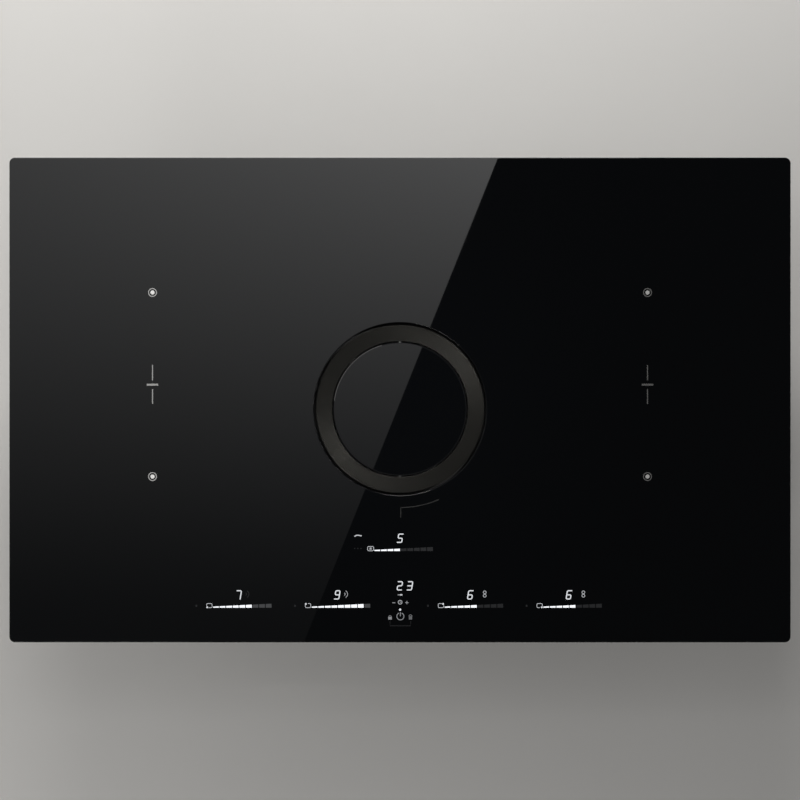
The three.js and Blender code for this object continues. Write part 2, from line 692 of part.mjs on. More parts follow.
function casingTray() {
  const [width, depth] = [2 * casingHalfWidth, 2 * casingHalfDepth];
  const hollow = (edge, top) => centredBox(width - 2 * edge, depth - 2 * edge, casingFloor, top);
  const shaftHole = drill(shaftRadius + SHAFT_WALL + SLIDING_GAP, casingUnder, casingFloor);
  const grille = fanGrille().map((slot) => at(slot, -coilX, fanY));
  const leadHole = drill(GLAND_BORE_RADIUS, casingUnder, casingFloor, ROD_FACETS);
  const tray = cut(centredBox(width, depth, casingUnder, glassUnder), [
    hollow(CASING_SHEET, glassUnder - CASING_SHEET),
    hollow(CASING_FLANGE, glassUnder + CUT_OVERSHOOT),
    at(shaftHole, 0, inletY),
    at(leadHole, terminalMiddleX, terminalMiddleY),
    ...grille,
    ...wallVents(),
  ]);
  const nutUnder = casingUnder - CLAMP_NUT_HEIGHT;
  const weldNut = cut(disc(CLAMP_NUT_RADIUS, nutUnder, casingUnder, ROD_FACETS), [
    disc(CLAMP_SCREW_RADIUS + RUNNING_GAP, nutUnder - CUT_OVERSHOOT, casingUnder - RUNNING_GAP, ROD_FACETS),
  ]);
  const nuts = SIDES.flatMap(([, side]) =>
    ENDS.map(([, end]) => at(weldNut, side * clampX, end * clampY)),
  );
  return joined([tray, ...nuts]);
}

add("casing_tray", casingTray(), galvanised);

// ------------------------------------------------------------------------ coils, boards, fans, sensors

function coil() {
  const outline = roundedRectangle(COIL_WIDTH, coilDepth, COIL_CORNER_RADIUS);
  outline.holes.push(roundedRectangle(COIL_EYE_WIDTH, COIL_EYE_DEPTH, COIL_EYE_CORNER_RADIUS));
  return extruded(outline, 0, COIL_HEIGHT);
}

/** A folded sheet on four corner legs that carries a front and a rear coil. */
function coilPlate() {
  const width = COIL_WIDTH + 2 * COIL_PLATE_MARGIN;
  const depth = coilsRear - coilsFront + 2 * COIL_PLATE_MARGIN;
  const sheet = centredBox(width, depth, coilSeat - COIL_PLATE_SHEET, coilSeat);
  const legs = SIDES.flatMap(([, side]) =>
    ENDS.map(([, end]) => {
      const x = (side * (width - COIL_PLATE_SHEET)) / 2;
      const y = (end * (depth - COIL_PLATE_LEG)) / 2;
      return at(centredBox(COIL_PLATE_SHEET, COIL_PLATE_LEG, casingFloor, coilSeat), x, y);
    }),
  );
  return joined([sheet, ...legs]);
}

const post = (z0, z1) => centredBox(POST_WIDTH, POST_WIDTH, z0, z1);

/** The inverter board on its four posts, with its larger components. */
function powerBoard() {
  const under = boardTop - BOARD_THICKNESS;
  const board = centredBox(POWER_BOARD_WIDTH, POWER_BOARD_DEPTH, under, boardTop);
  const posts = SIDES.flatMap(([, side]) =>
    ENDS.map(([, end]) => {
      const x = side * (POWER_BOARD_WIDTH / 2 - BOARD_POST_INSET);
      const y = end * (POWER_BOARD_DEPTH / 2 - BOARD_POST_INSET);
      return at(post(casingFloor, under + BOARD_THICKNESS / 2), x, y);
    }),
  );
  const chokeAt = HEATSINK_WIDTH / 2 + CHOKE_SIZE;
  const choke = centredBox(CHOKE_SIZE, CHOKE_SIZE, under, boardTop + CHOKE_SIZE);
  const chokes = SIDES.flatMap(([, side]) => ENDS.map(([, end]) => at(choke, side * chokeAt, end * chokeAt)));
  return joined([board, ...posts, ...chokes]);
}

function heatsink() {
  const gap = (HEATSINK_WIDTH - HEATSINK_FIN) / (HEATSINK_FINS - 1);
  const base = centredBox(HEATSINK_WIDTH, HEATSINK_DEPTH, 0, HEATSINK_BASE);
  const fins = spread(HEATSINK_FINS, gap).map((x) =>
    at(centredBox(HEATSINK_FIN, HEATSINK_DEPTH, 0, HEATSINK_HEIGHT), x, 0),
  );
  return joined([base, ...fins]);
}

/** The square fan frame on four posts, with the arms, the boss and the pin that the rotor turns on. */
function fanFrame() {
  const ring = cut(centredBox(FAN_SIZE, FAN_SIZE, 0, FAN_HEIGHT), [
    drill(FAN_BORE_RADIUS, 0, FAN_HEIGHT),
  ]);
  const postAt = FAN_SIZE / 2 - FAN_POST_INSET;
  const posts = SIDES.flatMap(([, side]) =>
    ENDS.map(([, end]) =>
      at(post(-FAN_POST_HEIGHT, FAN_ARM_HEIGHT), side * postAt, end * postAt),
    ),
  );
  const arm = centredBox(2 * FAN_BORE_RADIUS + FAN_ARM_WIDTH, FAN_ARM_WIDTH, 0, FAN_ARM_HEIGHT);
  const boss = disc(FAN_HUB_RADIUS, 0, FAN_ARM_HEIGHT, DRUM_FACETS / 2);
  const pin = disc(FAN_PIN_RADIUS, 0, FAN_ARM_HEIGHT + FAN_PIN_HEIGHT, ROD_FACETS);
  return joined([ring, ...posts, ...turnedCopies(arm, 2, 45), boss, pin]);
}

function fanRotor() {
  const under = FAN_ARM_HEIGHT + RUNNING_GAP;
  const hub = cut(disc(FAN_HUB_RADIUS, under, FAN_HEIGHT - LOOSE_GAP, DRUM_FACETS / 2), [
    disc(FAN_PIN_RADIUS + RUNNING_GAP, 0, FAN_ARM_HEIGHT + FAN_PIN_HEIGHT + LOOSE_GAP, ROD_FACETS),
  ]);
  const tip = FAN_BORE_RADIUS - FAN_TIP_GAP;
  const root = FAN_HUB_RADIUS - 2 * FAN_BLADE_THICKNESS;
  const blade = box(root, tip, -FAN_BLADE_CHORD / 2, FAN_BLADE_CHORD / 2, 0, FAN_BLADE_THICKNESS)
    .rotate([FAN_BLADE_PITCH_DEG, 0, 0])
    .translate([0, 0, (under + FAN_HEIGHT - LOOSE_GAP) / 2]);
  const swept = disc(tip, under, FAN_HEIGHT);
  return joined([hub, ...turnedCopies(blade, FAN_BLADES).map((turnedBlade) => turnedBlade.intersect(swept))]);
}

const tempSensor = disc(SENSOR_RADIUS, coilSeat, glassUnder, ROD_FACETS);
for (const [hand, side] of SIDES) {
  const x = side * coilX;
  add(`coil_plate_${hand}`, coilPlate(), aluminium, x, (coilsFront + coilsRear) / 2);
  add(`power_board_${hand}`, powerBoard(), circuitBoard, x, powerBoardY);
  add(`heatsink_${hand}`, heatsink(), aluminium, x, powerBoardY, boardTop);
  add(`cooling_fan_frame_${hand}`, fanFrame(), blackPlastic, x, fanY, casingFloor + FAN_POST_HEIGHT);
  add(`cooling_fan_rotor_${hand}`, fanRotor(), blackPlastic, x, fanY, casingFloor + FAN_POST_HEIGHT);
  for (const [end, y] of [["front", frontCoilY], ["rear", rearCoilY]]) {
    add(`coil_${end}_${hand}`, coil(), copper, x, y, coilSeat);
    add(`temp_sensor_${end}_${hand}`, tempSensor, whitePlastic, x, y);
  }
}

// -------------------------------------------------------------------------------------- touch controls

/** The T-shaped footprint of the controls, drawn in from its edges by an inset. */
function controlOutline(inset = 0) {
  const half = CONTROL_WIDTH / 2 - inset;
  const halfTongue = CONTROL_TONGUE_WIDTH / 2 - inset;
  const front = controlFront + inset;
  const shoulder = controlRear - inset;
  const tongue = tongueRear - inset;
  return polygon([
    [-half, front],
    [half, front],
    [half, shoulder],
    [halfTongue, shoulder],
    [halfTongue, tongue],
    [-halfTongue, tongue],
    [-halfTongue, shoulder],
    [-half, shoulder],
  ]);
}

/** The moulded carrier that stands on the casing floor and holds the touch board up to the glass. */
function displayCarrier() {
  const sheet = extruded(controlOutline(), carrierUnder, controlBoardUnder);
  const legX = (CONTROL_WIDTH - CARRIER_LEG) / 2;
  const legY = [controlFront + CARRIER_LEG / 2, controlRear - CARRIER_LEG / 2];
  const legs = [-legX, 0, legX].flatMap((x) =>
    legY.map((y) => at(centredBox(CARRIER_LEG, CARRIER_LEG, casingFloor, controlBoardUnder), x, y)),
  );
  return joined([sheet, ...legs]);
}

add("display_carrier", displayCarrier(), blackPlastic);
add("control_board", extruded(controlOutline(), controlBoardUnder, lightGuideUnder), circuitBoard);
const lightGuide = extruded(controlOutline(LIGHT_GUIDE_INSET), lightGuideUnder, glassUnder);
add("display_light_guide", lightGuide, whitePlastic);

// ---------------------------------------------------------------------------------- mains terminal box

/** The open box under the casing, with two ears for its lid and a hole for the cable gland. */
function terminalBox() {
  const right = terminalLeft + TERMINAL_WIDTH;
  const body = box(terminalLeft, right, terminalFront, terminalRear, terminalUnder, casingUnder);
  const inside = box(
    terminalLeft - CUT_OVERSHOOT,
    right - TERMINAL_WALL,
    terminalFront + TERMINAL_WALL,
    terminalRear - TERMINAL_WALL,
    terminalUnder + TERMINAL_WALL,
    casingUnder + CUT_OVERSHOOT,
  );
  const glandHole = at(
    rodAlongY(GLAND_RADIUS - TERMINAL_WALL, -CUT_OVERSHOOT - TERMINAL_WALL, CUT_OVERSHOOT, ROD_FACETS * 2),
    terminalMiddleX,
    terminalRear,
    glandZ,
  );
  const ear = [terminalFront, terminalRear - LID_EAR_WIDTH].map((y) => {
    const block = box(
      lidAxisX - LID_BARREL_RADIUS,
      terminalLeft + TERMINAL_WALL / 2,
      y,
      y + LID_EAR_WIDTH,
      lidAxisZ - LID_BARREL_RADIUS,
      lidAxisZ + LID_BARREL_RADIUS,
    );
    const hole = at(
      rodAlongY(LID_PIN_RADIUS + RUNNING_GAP, y - CUT_OVERSHOOT, y + LID_EAR_WIDTH + CUT_OVERSHOOT),
      lidAxisX,
      0,
      lidAxisZ,
    );
    return cut(block, [hole]);
  });
  return joined([cut(body, [inside, glandHole]), ...ear]);
}

/** The lid: a plate that hangs from a barrel, with a stub pin at each end in the box's ears. */
function terminalLid() {
  const front = terminalFront + LID_EAR_WIDTH + RUNNING_GAP;
  const rear = terminalRear - LID_EAR_WIDTH - RUNNING_GAP;
  const barrel = at(rodAlongY(LID_BARREL_RADIUS, front, rear), lidAxisX, 0, lidAxisZ);
  const pin = at(rodAlongY(LID_PIN_RADIUS, terminalFront, terminalRear), lidAxisX, 0, lidAxisZ);
  const plateRight = terminalLeft - RUNNING_GAP;
  const plate = box(plateRight - LID_THICKNESS, plateRight, front, rear, terminalUnder, lidAxisZ);
  const pull = box(
    plateRight - LID_THICKNESS - LID_PULL_DEPTH,
    plateRight - LID_THICKNESS / 2,
    -LID_PULL_WIDTH / 2 + (front + rear) / 2,
    LID_PULL_WIDTH / 2 + (front + rear) / 2,
    terminalUnder,
    terminalUnder + LID_THICKNESS,
  );
  return joined([barrel, pin, plate, pull]);
}

/** A row of ways with a wire hole through each, standing on the box's floor. */
function terminalBlock() {
  const pitch = TERMINAL_BLOCK_DEPTH / TERMINAL_WAYS;
  const body = centredBox(TERMINAL_BLOCK_WIDTH, TERMINAL_BLOCK_DEPTH, 0, TERMINAL_BLOCK_HEIGHT);
  const ways = spread(TERMINAL_WAYS, pitch).map((y) => {
    const half = pitch / 4;
    const reach = TERMINAL_BLOCK_WIDTH;
    return at(box(-reach, reach, -half, half, 2 * half, 4 * half), 0, y);
  });
  const groove = centredBox(
    TERMINAL_BLOCK_WIDTH + CUT_OVERSHOOT,
    LOOSE_GAP,
    TERMINAL_BLOCK_HEIGHT / 2,
    TERMINAL_BLOCK_HEIGHT + CUT_OVERSHOOT,
  );
  const grooves = spread(TERMINAL_WAYS - 1, pitch).map((y) => at(groove, 0, y));
  return cut(body, [...ways, ...grooves]);
}

/** The gland's body through the rear wall, with its hexagon outside and its bore for the mains lead. */
function cableGland() {
  const neckStart = -TERMINAL_WALL - LOOSE_GAP;
  const neck = rodAlongY(GLAND_RADIUS - TERMINAL_WALL - RUNNING_GAP, neckStart, LOOSE_GAP, ROD_FACETS * 2);
  const nut = rodAlongY(GLAND_RADIUS + TERMINAL_WALL, 0, GLAND_NUT_LENGTH, HEXAGON);
  const dome = rodAlongY(GLAND_RADIUS - TERMINAL_WALL, LOOSE_GAP, GLAND_LENGTH, ROD_FACETS * 2);
  const bore = rodAlongY(GLAND_BORE_RADIUS, -GLAND_LENGTH, 2 * GLAND_LENGTH, ROD_FACETS);
  return cut(joined([neck, nut, dome]), [bore]);
}

const blockSeat = terminalUnder + TERMINAL_WALL;
add("terminal_box", terminalBox(), blackPlastic);
add("terminal_lid", terminalLid(), blackPlastic);
add("terminal_block", terminalBlock(), whitePlastic, terminalMiddleX, terminalMiddleY, blockSeat);
add("cable_gland", cableGland(), greyPlastic, terminalMiddleX, terminalRear, glandZ);

// ----------------------------------------------------------------------------------------- suction box

const boxLeft = -BOX_LEFT_OF_INLET;
const boxRight = BOX_RIGHT_OF_INLET;

/** A block with the suction box's plan, drawn in from its sides by an inset. */
function boxBlock(inset, z0, z1) {
  const outline = roundedRectangle(
    boxRight - boxLeft - 2 * inset,
    2 * (boxHalfDepth - inset),
    BOX_CORNER_RADIUS - inset,
  );
  return at(extruded(outline, z0, z1), (boxLeft + boxRight) / 2, 0);
}

/** The lower shell, with the drawer's opening in front, the spigot's behind and two rails for the drawer. */
function suctionBoxLower() {
  const drawerMouth = box(
    -DRAWER_WIDTH / 2 - LOOSE_GAP,
    DRAWER_WIDTH / 2 + LOOSE_GAP,
    -boxHalfDepth - CUT_OVERSHOOT,
    -boxRearInside + CUT_OVERSHOOT,
    drawerUnder - LOOSE_GAP,
    drawerTop + LOOSE_GAP,
  );
  const spigotMouth = box(
    ductLeft - SCROLL_WALL - SLIDING_GAP,
    ductRight + SCROLL_WALL + SLIDING_GAP,
    boxRearInside - CUT_OVERSHOOT,
    boxHalfDepth + CUT_OVERSHOOT,
    scrollUnder - SLIDING_GAP,
    scrollTop + SLIDING_GAP,
  );
  const railX = DRAWER_WIDTH / 2 - 2 * DRAWER_RAIL_WIDTH;
  const rails = SIDES.map(([, side]) =>
    at(
      box(
        -DRAWER_RAIL_WIDTH / 2,
        DRAWER_RAIL_WIDTH / 2,
        -boxRearInside,
        -boxRearInside + DRAWER_LENGTH,
        BOX_WALL / 2,
        BOX_WALL + DRAWER_RAIL_HEIGHT,
      ),
      side * railX,
      0,
    ),
  );
  const inside = boxBlock(BOX_WALL, BOX_WALL, boxSeam + CUT_OVERSHOOT);
  const shell = cut(boxBlock(0, 0, boxSeam), [inside, drawerMouth, spigotMouth]);
  return joined([shell, ...rails]);
}

function suctionBoxUpper() {
  const shaftHole = disc(shaftRadius + SHAFT_WALL + SLIDING_GAP, boxSeam, BLOWER_BOX_HEIGHT + CUT_OVERSHOOT);
  return cut(boxBlock(0, boxSeam, BLOWER_BOX_HEIGHT), [
    boxBlock(BOX_WALL, boxSeam - CUT_OVERSHOOT, boxUnderLid),
    at(shaftHole, 0, inletY),
  ]);
}

add("suction_box_lower", suctionBoxLower(), blackPlastic);
add("suction_box_upper", suctionBoxUpper(), blackPlastic);

// ---------------------------------------------------------------------------------------------- blower

/** Corners on the scroll's spiral from one angle to another, about the blower's axis. */
function spiral(fromDeg, toDeg, wall) {
  const steps = Math.ceil((toDeg - fromDeg) / SPIRAL_STEP_DEG);
  return indexes(steps + 1).map((i) => {
    const deg = fromDeg + ((toDeg - fromDeg) * i) / steps;
    const share = (deg - SCROLL_TONGUE_DEG) / (360 - SCROLL_TONGUE_DEG);
    const radius = scrollTongueRadius + SCROLL_GROWTH * share + wall;
    const angle = THREE.MathUtils.degToRad(deg);
    return [blowerX + radius * Math.cos(angle), blowerY + radius * Math.sin(angle)];
  });
}

const scrollOutline = () =>
  polygon([
    ...spiral(SCROLL_JOIN_DEG, 360, SCROLL_WALL),
    [ductRight + SCROLL_WALL, boxRearInside],
    [ductLeft - SCROLL_LEFT_WALL, boxRearInside],
  ]);

/** The scroll's floor and wall, open above and towards the outlet, on four feet. */
function blowerScroll() {
  const cavity = polygon([
    ...spiral(SCROLL_TONGUE_DEG, 360, 0),
    [ductRight, boxRearInside + CUT_OVERSHOOT],
    [ductLeft, boxRearInside + CUT_OVERSHOOT],
  ]);
  const motorHole = drill(MOTOR_RADIUS + LOOSE_GAP, scrollUnder, scrollFloor);
  const body = cut(extruded(scrollOutline(), scrollUnder, scrollTop - SCROLL_WALL), [
    extruded(cavity, scrollFloor, scrollTop),
    at(motorHole, blowerX, blowerY),
  ]);
  const footRadius = scrollTongueRadius - SCROLL_FOOT_RADIUS;
  const foot = at(disc(SCROLL_FOOT_RADIUS, BOX_WALL, scrollFloor, ROD_FACETS), footRadius, 0);
  const feet = turnedCopies(foot, 4, 45).map((turnedFoot) => at(turnedFoot, blowerX, blowerY));
  return joined([body, ...feet]);
}

/** The scroll's top plate with the rounded mouth that the impeller draws through. */
function blowerInletPlate() {
  const lip = 2 * SCROLL_WALL;
  const mouth = turned([
    [SCROLL_INLET_RADIUS, scrollTop - SCROLL_WALL],
    [SCROLL_INLET_RADIUS + SCROLL_WALL, scrollTop - SCROLL_WALL],
    [SCROLL_INLET_RADIUS + lip, scrollTop],
    [SCROLL_INLET_RADIUS + lip, scrollTop + lip],
    [SCROLL_INLET_RADIUS + SCROLL_WALL, scrollTop + lip],
    [SCROLL_INLET_RADIUS, scrollTop],
  ]);
  const plateUnder = scrollTop - SCROLL_WALL;
  const hole = at(drill(SCROLL_INLET_RADIUS + SCROLL_WALL / 2, plateUnder, scrollTop), blowerX, blowerY);
  const plate = cut(extruded(scrollOutline(), plateUnder, scrollTop), [hole]);
  return joined([plate, at(mouth, blowerX, blowerY)]);
}

/** The impeller: a crowned back plate over the motor, a ring of forward-curved blades and a top ring. */
function blowerImpeller() {
  const bladeFoot = IMPELLER_RADIUS - IMPELLER_BLADE_DEPTH;
  const hubTop = impellerHubUnder + IMPELLER_HUB_HEIGHT;
  const shell = turned([
    [MOTOR_SHAFT_RADIUS + RUNNING_GAP, impellerHubUnder],
    [IMPELLER_CROWN_RADIUS - IMPELLER_SHEET, impellerHubUnder],
    [bladeFoot - IMPELLER_SHEET, impellerUnder],
    [IMPELLER_RADIUS, impellerUnder],
    [IMPELLER_RADIUS, impellerUnder + IMPELLER_SHEET],
    [bladeFoot, impellerUnder + IMPELLER_SHEET],
    [IMPELLER_CROWN_RADIUS, impellerHubUnder + IMPELLER_SHEET],
    [IMPELLER_HUB_RADIUS, impellerHubUnder + IMPELLER_SHEET],
    [IMPELLER_HUB_RADIUS, hubTop],
    [MOTOR_SHAFT_RADIUS + RUNNING_GAP, hubTop],
  ]);
  const topRing = tube(
    IMPELLER_RADIUS - IMPELLER_BLADE_DEPTH / 3,
    IMPELLER_RADIUS,
    impellerTop - IMPELLER_SHEET,
    impellerTop,
  );
  const blade = extruded(
    bladeOutline(bladeFoot),
    impellerUnder + IMPELLER_SHEET / 2,
    impellerTop - IMPELLER_SHEET / 2,
  );
  return joined([shell, topRing, ...turnedCopies(blade, IMPELLER_BLADES)]);
}

/** One blade seen from above, a thin strip that leans forward as it reaches the rim. */
function bladeOutline(bladeFoot) {
  const rim = IMPELLER_RADIUS - SLIDING_GAP;
  const rows = [0, 0.5, 1].map((share) => {
    const radius = bladeFoot + (rim - bladeFoot) * share;
    const angle = THREE.MathUtils.degToRad(IMPELLER_BLADE_LEAN_DEG * share ** 2);
    return [radius, angle];
  });
  const side = (offset) =>
    rows.map(([radius, angle]) => [
      radius * Math.cos(angle) - offset * Math.sin(angle),
      radius * Math.sin(angle) + offset * Math.cos(angle),
    ]);
  return polygon([...side(-IMPELLER_BLADE_THICKNESS / 2), ...side(IMPELLER_BLADE_THICKNESS / 2).reverse()]);
}

function blowerMotor() {
  const shaftBore = disc(
    MOTOR_SHAFT_RADIUS + RUNNING_GAP,
    motorTop - MOTOR_SHAFT_IN_MOTOR - LOOSE_GAP,
    motorTop + CUT_OVERSHOOT,
    ROD_FACETS,
  );
  const can = turned([
    [0, scrollUnder],
    [MOTOR_RADIUS, scrollUnder],
    [MOTOR_RADIUS, motorTop - MOTOR_SHOULDER],
    [MOTOR_RADIUS - MOTOR_SHOULDER, motorTop],
    [0, motorTop],
  ]);
  return cut(can, [shaftBore]);
}

/** The duct stub through the box's rear wall, with the flange that closes the wall round it. */
function outletSpigot() {
  const [left, right] = [ductLeft - SCROLL_WALL, ductRight + SCROLL_WALL];
  const end = boxHalfDepth + SPIGOT_LENGTH;
  const stub = box(left, right, boxRearInside, end, scrollUnder, scrollTop);
  const flange = box(
    left - SPIGOT_FLANGE,
    right + SPIGOT_FLANGE,
    boxHalfDepth,
    boxHalfDepth + SPIGOT_FLANGE_SHEET,
    scrollUnder - SPIGOT_FLANGE,
    scrollTop + SPIGOT_FLANGE,
  );
  const duct = box(
    ductLeft,
    ductRight,
    boxRearInside - CUT_OVERSHOOT,
    end + CUT_OVERSHOOT,
    scrollFloor,
    scrollTop - SCROLL_WALL,
  );
  return cut(joined([stub, flange]), [duct]);
}

const motorShaft = disc(
  MOTOR_SHAFT_RADIUS,
  motorTop - MOTOR_SHAFT_IN_MOTOR,
  impellerHubUnder + IMPELLER_HUB_HEIGHT,
  ROD_FACETS,
);
const motorPlate = disc(MOTOR_PLATE_RADIUS, scrollUnder - MOTOR_PLATE_SHEET, scrollUnder);

add("blower_scroll", blowerScroll(), blackPlastic);
add("blower_inlet_plate", blowerInletPlate(), blackPlastic);
add("motor_plate", motorPlate, galvanised, blowerX, blowerY);
add("blower_motor", blowerMotor(), aluminium, blowerX, blowerY);
add("motor_shaft", motorShaft, stainless, blowerX, blowerY);
add("blower_impeller", blowerImpeller(), greyPlastic, blowerX, blowerY);
add("outlet_spigot", outletSpigot(), blackPlastic);

// ----------------------------------------------------------------------------------------- drip drawer

/** The drawer that catches what runs through the filter, with its front plate and finger pull. */
function dripDrawer() {
  const half = DRAWER_WIDTH / 2;
  const [front, rear] = [-boxHalfDepth, -boxHalfDepth + DRAWER_LENGTH];
  const tub = cut(box(-half, half, front - DRAWER_FRONT_SHEET, rear, drawerUnder, drawerTop), [
    box(
      -half + DRAWER_WALL,
      half - DRAWER_WALL,
      front + DRAWER_WALL,
      rear - DRAWER_WALL,
      drawerUnder + DRAWER_WALL,
      drawerTop + CUT_OVERSHOOT,
    ),
  ]);
  const plateBack = front - RUNNING_GAP;
  const plateFront = plateBack - DRAWER_FRONT_SHEET;
  const plate = box(
    -half - DRAWER_FRONT_MARGIN,
    half + DRAWER_FRONT_MARGIN,
    plateFront,
    plateBack,
    drawerUnder - BOX_WALL,
    drawerTop + DRAWER_FRONT_MARGIN,
  );
  const pull = box(
    -DRAWER_PULL_WIDTH / 2,
    DRAWER_PULL_WIDTH / 2,
    plateFront - DRAWER_PULL_DEPTH,
    plateFront + DRAWER_FRONT_SHEET / 2,
    drawerTop - DRAWER_FRONT_SHEET,
    drawerTop,
  );
  return joined([tub, plate, pull]);
}

add("drip_drawer", dripDrawer(), greyPlastic);

// -------------------------------------------------------------------------------------- worktop clamps

/** A clamp that reaches along +Y from its screw, with a claw turned up at its end. */
function clamp() {
  const outline = roundedRectangle(CLAMP_WIDTH, CLAMP_LENGTH, CLAMP_WIDTH / 2 - RUNNING_GAP);
  const reach = CLAMP_LENGTH - CLAMP_WIDTH / 2;
  const arm = at(extruded(outline, 0, CLAMP_SHEET), 0, (CLAMP_LENGTH - CLAMP_WIDTH) / 2);
  const claw = box(
    -CLAMP_WIDTH / 4,
    CLAMP_WIDTH / 4,
    reach - CLAMP_SHEET,
    reach,
    0,
    CLAMP_CLAW_HEIGHT,
  );
  const hole = drill(CLAMP_SCREW_RADIUS + RUNNING_GAP, 0, CLAMP_SHEET, ROD_FACETS);
  return cut(joined([arm, claw]), [hole]);
}

/** The clamp's screw, its head under the arm and its end in the weld nut. */
function clampScrew() {
  const headTop = clampUnder - RUNNING_GAP;
  const head = disc(CLAMP_HEAD_RADIUS, headTop - CLAMP_HEAD_HEIGHT, headTop, HEXAGON);
  const shankUnder = headTop - CLAMP_HEAD_HEIGHT / 2;
  const shank = disc(CLAMP_SCREW_RADIUS, shankUnder, casingUnder - LOOSE_GAP, ROD_FACETS);
  return head.add(shank);
}

// Each clamp is stowed along its wall with its claw towards the middle.
for (const [hand, side] of SIDES) {
  for (const [end, behind] of ENDS) {
    const [x, y] = [side * clampX, behind * clampY];
    add(`clamp_${end}_${hand}`, clamp().rotate([0, 0, side * 90]), galvanised, x, y, clampUnder);
    add(`clamp_screw_${end}_${hand}`, clampScrew(), galvanised, x, y);
  }
}

export default cooktop;
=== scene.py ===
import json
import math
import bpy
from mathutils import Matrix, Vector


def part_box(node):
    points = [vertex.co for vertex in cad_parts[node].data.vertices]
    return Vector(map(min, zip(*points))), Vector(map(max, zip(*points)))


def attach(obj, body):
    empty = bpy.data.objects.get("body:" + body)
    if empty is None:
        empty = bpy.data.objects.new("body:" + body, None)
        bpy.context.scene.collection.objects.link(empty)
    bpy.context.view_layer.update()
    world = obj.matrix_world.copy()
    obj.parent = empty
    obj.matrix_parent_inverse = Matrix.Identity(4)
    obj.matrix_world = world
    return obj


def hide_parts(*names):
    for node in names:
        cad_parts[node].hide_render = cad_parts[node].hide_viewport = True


bl_info = {
    "name": "Downdraft Cooktop Dressing",
    "version": (1, 0, 0),
    "blender": (4, 5, 0),
    "location": "View3D > Sidebar > Cooktop",
    "description": "Dresses the packed cooktop with its marks, windings, fasteners and finishes",
    "category": "Object",
}

import bmesh
import bpy
from mathutils import Matrix, Vector

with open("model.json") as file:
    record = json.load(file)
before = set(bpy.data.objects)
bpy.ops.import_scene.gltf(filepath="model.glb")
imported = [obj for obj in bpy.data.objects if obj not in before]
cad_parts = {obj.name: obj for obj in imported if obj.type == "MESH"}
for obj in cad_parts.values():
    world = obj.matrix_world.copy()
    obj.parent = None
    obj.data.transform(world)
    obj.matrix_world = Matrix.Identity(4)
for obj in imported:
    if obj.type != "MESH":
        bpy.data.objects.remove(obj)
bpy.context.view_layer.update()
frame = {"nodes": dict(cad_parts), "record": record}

MM = 0.001
# Points nearer to each other than this are one point
WELD = 1e-6
# Faces that turn less than this are one flat face
FLAT_ANGLE = math.radians(0.8)
# Faces that turn more than this meet in a sharp edge
SHARP_ANGLE = math.radians(32)
# The upright share of a face's normal from which the face counts as level
LEVEL = 0.9999
# How far the larger faces at a corner lead its light, from 1 to 100
LARGE_FACES = 90
FINE_SEGMENTS = 256
DRUM_SEGMENTS = 96
SMALL_SEGMENTS = 12
HALF_TURN = math.pi
FULL_TURN = 2 * math.pi


def box_of(node):
    """The lowest and the highest corner of a node's box."""
    low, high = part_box(node)
    return Vector(low), Vector(high)


GLASS_LOW, GLASS_HIGH = box_of("glass_top")
RING_LOW, RING_HIGH = box_of("inlet_ring")
INLET = (RING_LOW + RING_HIGH) / 2
INLET.z = 0
RING_RADIUS = (RING_HIGH.x - RING_LOW.x) / 2


# ------------------------------------------------------------------------------------------- properties


def length(name, description, default):
    return bpy.props.FloatProperty(
        name=name, description=description, default=default, min=0, unit="LENGTH", precision=5
    )


def colour(name, description, default):
    return bpy.props.FloatVectorProperty(
        name=name, description=description, default=default, size=3, min=0, max=1, subtype="COLOR"
    )


class CooktopSizes(bpy.types.PropertyGroup):
    """Sizes of the dressed pieces that a user may change."""

    glass_edge: length("Glass edge", "Width of the ground edge round the glass", 0.5 * MM)
    inlay_depth: length("Inlay height", "How far the marks stand above the glass", 0.05 * MM)
    groove_pitch: length("Turned grooves", "Distance between the fine grooves of the ring", 0.5 * MM)
    sheet_edge: length("Sheet edge", "Rounding of folded sheet metal", 0.35 * MM)
    moulded_edge: length("Moulded edge", "Rounding of moulded plastic", 0.8 * MM)
    winding_wire: length("Winding wire", "Diameter of the coils' litz wire", 2.6 * MM)
    winding_turns: bpy.props.IntProperty(
        name="Winding turns", description="Turns of each induction coil", default=22, min=2, max=40
    )
    mesh_wire: length("Mesh wire", "Diameter of the grease filter's wires", 0.7 * MM)
    mesh_wires: bpy.props.IntProperty(
        name="Mesh wires", description="Wires each way in the filter mesh", default=54, min=8, max=120
    )
    screw_head: length("Screw head", "Diameter of the casing's screw heads", 6.4 * MM)
    rib_pitch: length("Rib pitch", "Distance between the suction box's ribs", 40 * MM)


